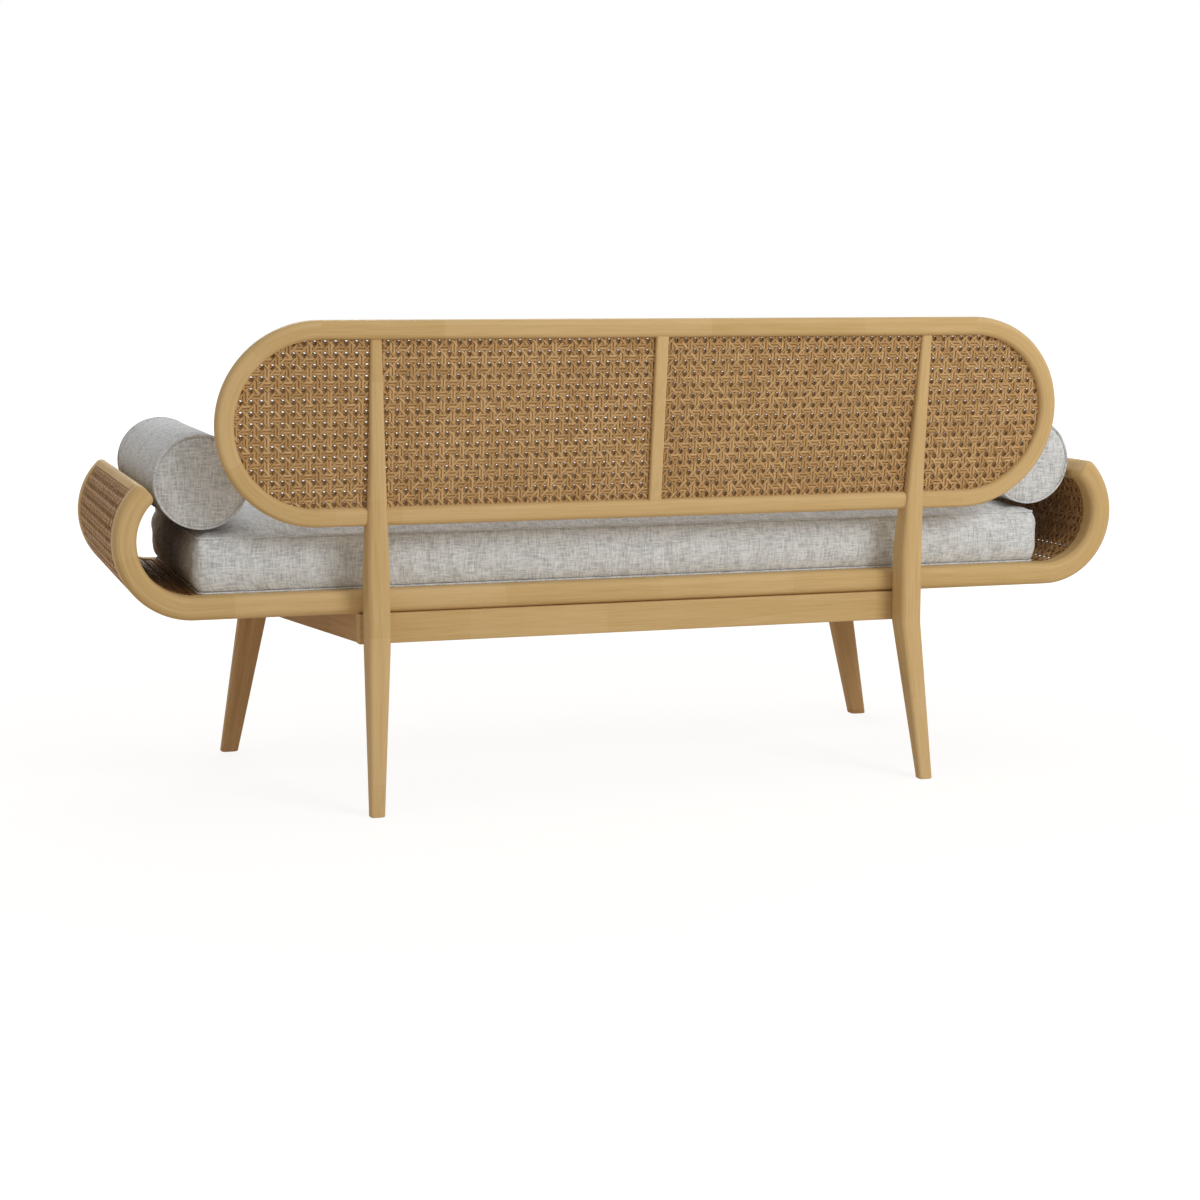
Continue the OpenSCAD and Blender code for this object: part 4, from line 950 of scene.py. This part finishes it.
class SOFA_OT_seat_cushion(Operator):
    """Loose boxed seat cushion with piping round its top and bottom edges.
    A rounded box whose top rises by 1 - (1 - e)^2 of its crown, where e is the share of the first 70 mm in
    from its edge, and that is then filled"""
    bl_idname = "sofa.seat_cushion"
    bl_label = "Seat cushion"

    def execute(self, context):
        s = context.scene.sofa_sizes
        low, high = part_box("seat_cushion")
        half_x, half_y = (high.x - low.x) / 2 - 0.005, (high.y - low.y) / 2 + 0.003
        centre_y = (low.y + high.y) / 2
        seam_low, seam_high = low.z + 0.0030, low.z + s.boxing
        grid_corner, seam_corner, belly_corner = 0.021, 0.012, 0.012
        crown_rise, puff_rise, under_sag = 0.0085, 0.0026, 0.0028
        crown_reach, puff_reach, sag_reach = 0.07, 0.005, 0.02
        end_bulge, side_bulge = 0.008, 0.0032

        def lines(half):
            inner = half - grid_corner
            steps = int(2 * inner / 0.0095)
            return np.concatenate([[-half, -half + grid_corner / 3, -half + grid_corner * 2 / 3],
                                   np.linspace(-inner, inner, steps),
                                   [half - grid_corner * 2 / 3, half - grid_corner / 3, half]])
        points, faces, maps = shell_grid(lines(half_x), lines(half_y), np.linspace(seam_low, seam_high, 13))
        edge = np.minimum(half_x - np.abs(points[:, 0]), half_y - np.abs(points[:, 1]))
        at_top, at_bottom = points[:, 2] > seam_high - 1e-5, points[:, 2] < seam_low + 1e-5
        flat = at_top | at_bottom
        pinned = flat & (edge < 1e-4)
        share = (points[:, 2] - seam_low) / (seam_high - seam_low)
        from_seam = np.where(flat, edge, np.minimum(share, 1 - share) * (seam_high - seam_low))
        puff = puff_rise * (1 - np.exp(-from_seam / puff_reach))
        crown = crown_rise * (1 - (1 - np.clip(edge / crown_reach, 0, 1)) ** 2)
        bulge = 1 - np.abs(2 * share - 1) ** 3
        out = 1 + (np.array([[end_bulge, side_bulge]]).T * bulge + puff) / np.array([[half_x, half_y]]).T
        points[:, 2] += np.where(at_top, crown + puff, 0)
        points[:, 2] -= np.where(at_bottom, under_sag * np.clip(edge / sag_reach, 0, 1), 0)
        points = round_plan(points, half_x, half_y, seam_corner + belly_corner * bulge)
        points[:, :2] *= np.where(flat, 1, out).T
        points[:, 1] += centre_y
        piece = new_piece("seat_cushion_cover", points, faces, {"Weave": maps})
        after = fill(piece, pinned, s.seat_swell)
        after += creases(points, half_x, half_y, centre_y, np.where(flat, -1, share))
        after[:, 2] = np.maximum(after[:, 2], low.z + 0.0002)
        bolster_x, bolster_z, _, _, r = bolster_axis()

        def under_bolsters(path, gap):
            """Presses points down to a cylinder a gap wider than the bolster above them."""
            aside = np.clip((r + gap) ** 2 - (np.abs(path[:, 0]) - bolster_x) ** 2, 0, None)
            path[:, 2] = np.where(aside > 0, np.minimum(path[:, 2], bolster_z - np.sqrt(aside)), path[:, 2])
            return path
        cover(piece, under_bolsters(after, 0.0012), "seat_cushion")
        lower = plan_loop(half_x, half_y, seam_corner, centre_y, low.z - 0.0007 + s.piping / 2)
        upper = plan_loop(half_x, half_y, seam_corner, centre_y, seam_high + 0.0002)
        piping("seat_piping_lower", lower, s.piping / 2, "seat_cushion")
        piping("seat_piping_upper", under_bolsters(upper, 0.0030), s.piping / 2, "seat_cushion")
        return {"FINISHED"}


class SOFA_OT_bolsters(Operator):
    """Two round bolsters lying along the arms.
    A tube closed by discs whose middles stand out by a cosine, then filled, with piping at both ends"""
    bl_idname = "sofa.bolsters"
    bl_label = "Bolsters"

    def execute(self, context):
        s = context.scene.sofa_sizes
        axis_x, axis_z, y0, y1, r = bolster_axis()
        bulge, shy, shell = 0.007, 0.002, r - 0.0024
        piping_radius, piping_inset = 0.0022, 0.0004
        around = 72
        disc = np.linspace(0, 1, 9)[1:-1]
        side_y = np.linspace(y0 + bulge, y1 - bulge, 52)
        radius = np.concatenate([disc * shell, np.full(52, shell), disc[::-1] * shell])
        y = np.concatenate([y0 + bulge - (bulge - shy) * np.cos(disc * np.pi / 2), side_y,
                            y1 - bulge + (bulge - shy) * np.cos(disc[::-1] * np.pi / 2)])
        run = (side_y - side_y[0]) / shell
        flat = np.concatenate([disc - 1, run, run[-1] + 1 - disc[::-1]]) * shell
        a = np.linspace(0, 2 * np.pi, around, endpoint=False)
        angles = np.append(a, 2 * np.pi) * shell
        rings = len(radius)
        index = np.arange(rings * around).reshape(rings, around)
        beside = np.roll(index, -1, 1)
        tube = np.stack([index[:-1], beside[:-1], beside[1:], index[1:]], -1).reshape(-1, 4)
        chart = quad_chart(*np.broadcast_arrays(flat[:-1, None], flat[1:, None], angles[:-1], angles[1:]))
        ring = np.repeat(np.arange(rings - 1), around)
        on_disc = (ring < len(disc)) | (ring >= rings - 1 - len(disc))
        pinned = np.zeros(rings * around + 2, bool)
        pinned[[*index[len(disc)], *index[-1 - len(disc)]]] = True
        for side, sign in SIDES:
            axis = np.array([sign * axis_x, axis_z])
            grid = np.stack([axis[0] + radius[:, None] * np.cos(a),
                             np.broadcast_to(y[:, None], (rings, around)),
                             axis[1] + radius[:, None] * np.sin(a)], 2)
            hubs = [[axis[0], middle, axis[1]] for middle in (y0 + shy, y1 - shy)]
            points = np.concatenate([grid.reshape(-1, 3), hubs])
            level = points[:, (0, 2)]
            faces = [tube]
            maps = [np.where(on_disc[:, None, None], level[tube], chart.reshape(-1, 4, 2))]
            for hub, end, turn in ((rings * around, 0, 1), (rings * around + 1, rings - 1, -1)):
                cap = np.stack([np.full(around, hub), beside[end], index[end]][::turn], 1)
                faces.append(cap)
                maps.append(level[cap])
            piece = new_piece(f"bolster_cover_{side}", points, faces, {"Weave": maps})
            after = fill(piece, pinned, s.bolster_swell)
            away = after[:, (0, 2)] - axis
            size = np.linalg.norm(away, axis=1, keepdims=True) + 1e-9
            after[:, (0, 2)] = axis + away * np.minimum(1, (r - 0.0002) / size)
            cover(piece, after, f"bolster_{side}")
            for end, level_y in (("front", side_y[0]), ("rear", side_y[-1])):
                t = np.linspace(0, 2 * np.pi, 96, endpoint=False)
                path = np.stack([axis[0] + (shell - piping_inset) * np.cos(t), np.full(96, level_y),
                                 axis[1] + (shell - piping_inset) * np.sin(t)], 1)
                piping(f"bolster_piping_{end}_{side}", path, piping_radius, f"bolster_{side}")
        return {"FINISHED"}


def looked_at(tree):
    """One for rays of the camera, a reflection or a see-through surface, and nought for bounced light."""
    ray = add(tree, "LightPath")
    either = add(tree, "Math", {0: ray["Is Camera Ray"], 1: ray["Is Glossy Ray"]}, operation="MAXIMUM")[0]
    return add(tree, "Math", {0: either, 1: ray["Is Transmission Ray"]}, operation="MAXIMUM")[0]


class SOFA_OT_stage(Operator):
    """Pale studio floor, white surround, soft lights and the camera.
    The floor turns white with distance where it is looked at, and keeps the sofa's shadow near by"""
    bl_idname = "sofa.stage"
    bl_label = "Studio"

    def execute(self, context):
        scene = context.scene
        white = (1, 1, 1, 1)
        material, tree = blank("Painted studio floor")
        spot = add(tree, "VectorMath", {0: add(tree, "TexCoord")["Object"]}, operation="LENGTH")["Value"]
        reach = {"Value": spot, "From Min": 1.1, "From Max": 2.6, "To Min": 0.74, "To Max": 1.0}
        far = add(tree, "MapRange", reach, interpolation_type="SMOOTHSTEP")[0]
        glowing = add(tree, "Math", {0: looked_at(tree), 1: far}, operation="MULTIPLY")[0]
        matt = add(tree, "BsdfDiffuse", {"Color": (*scene.sofa_colours.floor, 1)})[0]
        glow = add(tree, "Emission", {"Color": white, "Strength": 1.18})[0]
        add(tree, "OutputMaterial", {0: add(tree, "MixShader", {0: glowing, 1: matt, 2: glow})[0]})
        corners = np.array([[-14, -24, 0], [14, -24, 0], [14, 8, 0], [-14, 8, 0]], float)
        floor = new_piece("studio_floor", corners, [np.array([[0, 1, 2, 3]])])
        floor.data.materials.append(material)
        scene.world = bpy.data.worlds.new("White surround")
        scene.world.use_nodes = True
        tree = scene.world.node_tree
        tree.nodes.clear()
        around = add(tree, "Background", {"Color": (1.0, 0.945, 0.89, 1), "Strength": 0.42})[0]
        behind = add(tree, "Background", {"Color": white, "Strength": 1.0})[0]
        add(tree, "OutputWorld", {0: add(tree, "MixShader", {0: looked_at(tree), 1: around, 2: behind})[0]})
        aim = Vector((0.0, 0.0, 0.45))
        lamps = (("Key", (-1.9, 3.9, 2.6), 1.8, 94), ("Top", (0.0, -0.3, 3.6), 2.6, 14),
                 ("Fill", (3.2, 2.4, 2.2), 2.6, 5), ("Front", (-0.4, -3.9, 2.6), 2.6, 58))
        for name, place, size, power in lamps:
            lamp = bpy.data.lights.new(name, "AREA")
            lamp.energy, lamp.size, lamp.color = power, size, (0.97, 0.99, 1.0)
            stand = bpy.data.objects.new(name, lamp)
            stand.location = place
            stand.rotation_euler = (aim - Vector(place)).to_track_quat("-Z", "Y").to_euler()
            scene.collection.objects.link(stand)
        camera = bpy.data.cameras.new("Camera")
        camera.lens, camera.sensor_width, camera.sensor_fit = 69.9, 36, "HORIZONTAL"
        camera.clip_end = 100
        stand = bpy.data.objects.new("Camera", camera)
        stand.location = (1.2730, 3.9633, 0.8576)
        stand.rotation_euler = (math.radians(82.246), 0, math.radians(162.194))
        scene.collection.objects.link(stand)
        scene.camera = stand
        scene.view_settings.view_transform = "Standard"
        return {"FINISHED"}


class SOFA_PT_panel(Panel):
    """Sizes, colours and the pieces of the sofa."""
    bl_label = "Cane Sofa"
    bl_space_type = "VIEW_3D"
    bl_region_type = "UI"
    bl_category = "Cane Sofa"

    def draw(self, context):
        layout = self.layout
        for group in (context.scene.sofa_sizes, context.scene.sofa_colours):
            box = layout.box()
            for name in group.__annotations__:
                box.prop(group, name)
        for operator in OPERATORS:
            layout.operator(operator.bl_idname)


OPERATORS = (SOFA_OT_bent_rails, SOFA_OT_back_ring, SOFA_OT_legs, SOFA_OT_timber, SOFA_OT_back_cane,
             SOFA_OT_arm_cane, SOFA_OT_seat_cushion, SOFA_OT_bolsters, SOFA_OT_stage)
CLASSES = (SofaSizes, SofaColours, *OPERATORS, SOFA_PT_panel)


def register():
    for item in CLASSES:
        bpy.utils.register_class(item)
    bpy.types.Scene.sofa_sizes = PointerProperty(type=SofaSizes)
    bpy.types.Scene.sofa_colours = PointerProperty(type=SofaColours)


def unregister():
    del bpy.types.Scene.sofa_colours
    del bpy.types.Scene.sofa_sizes
    for item in reversed(CLASSES):
        bpy.utils.unregister_class(item)


def main():
    register()
    bpy.ops.sofa.bent_rails()
    bpy.ops.sofa.back_ring()
    bpy.ops.sofa.legs()
    bpy.ops.sofa.timber()
    bpy.ops.sofa.back_cane()
    bpy.ops.sofa.arm_cane()
    bpy.ops.sofa.seat_cushion()
    bpy.ops.sofa.bolsters()
    bpy.ops.sofa.stage()


if __name__ == "__main__":
    main()
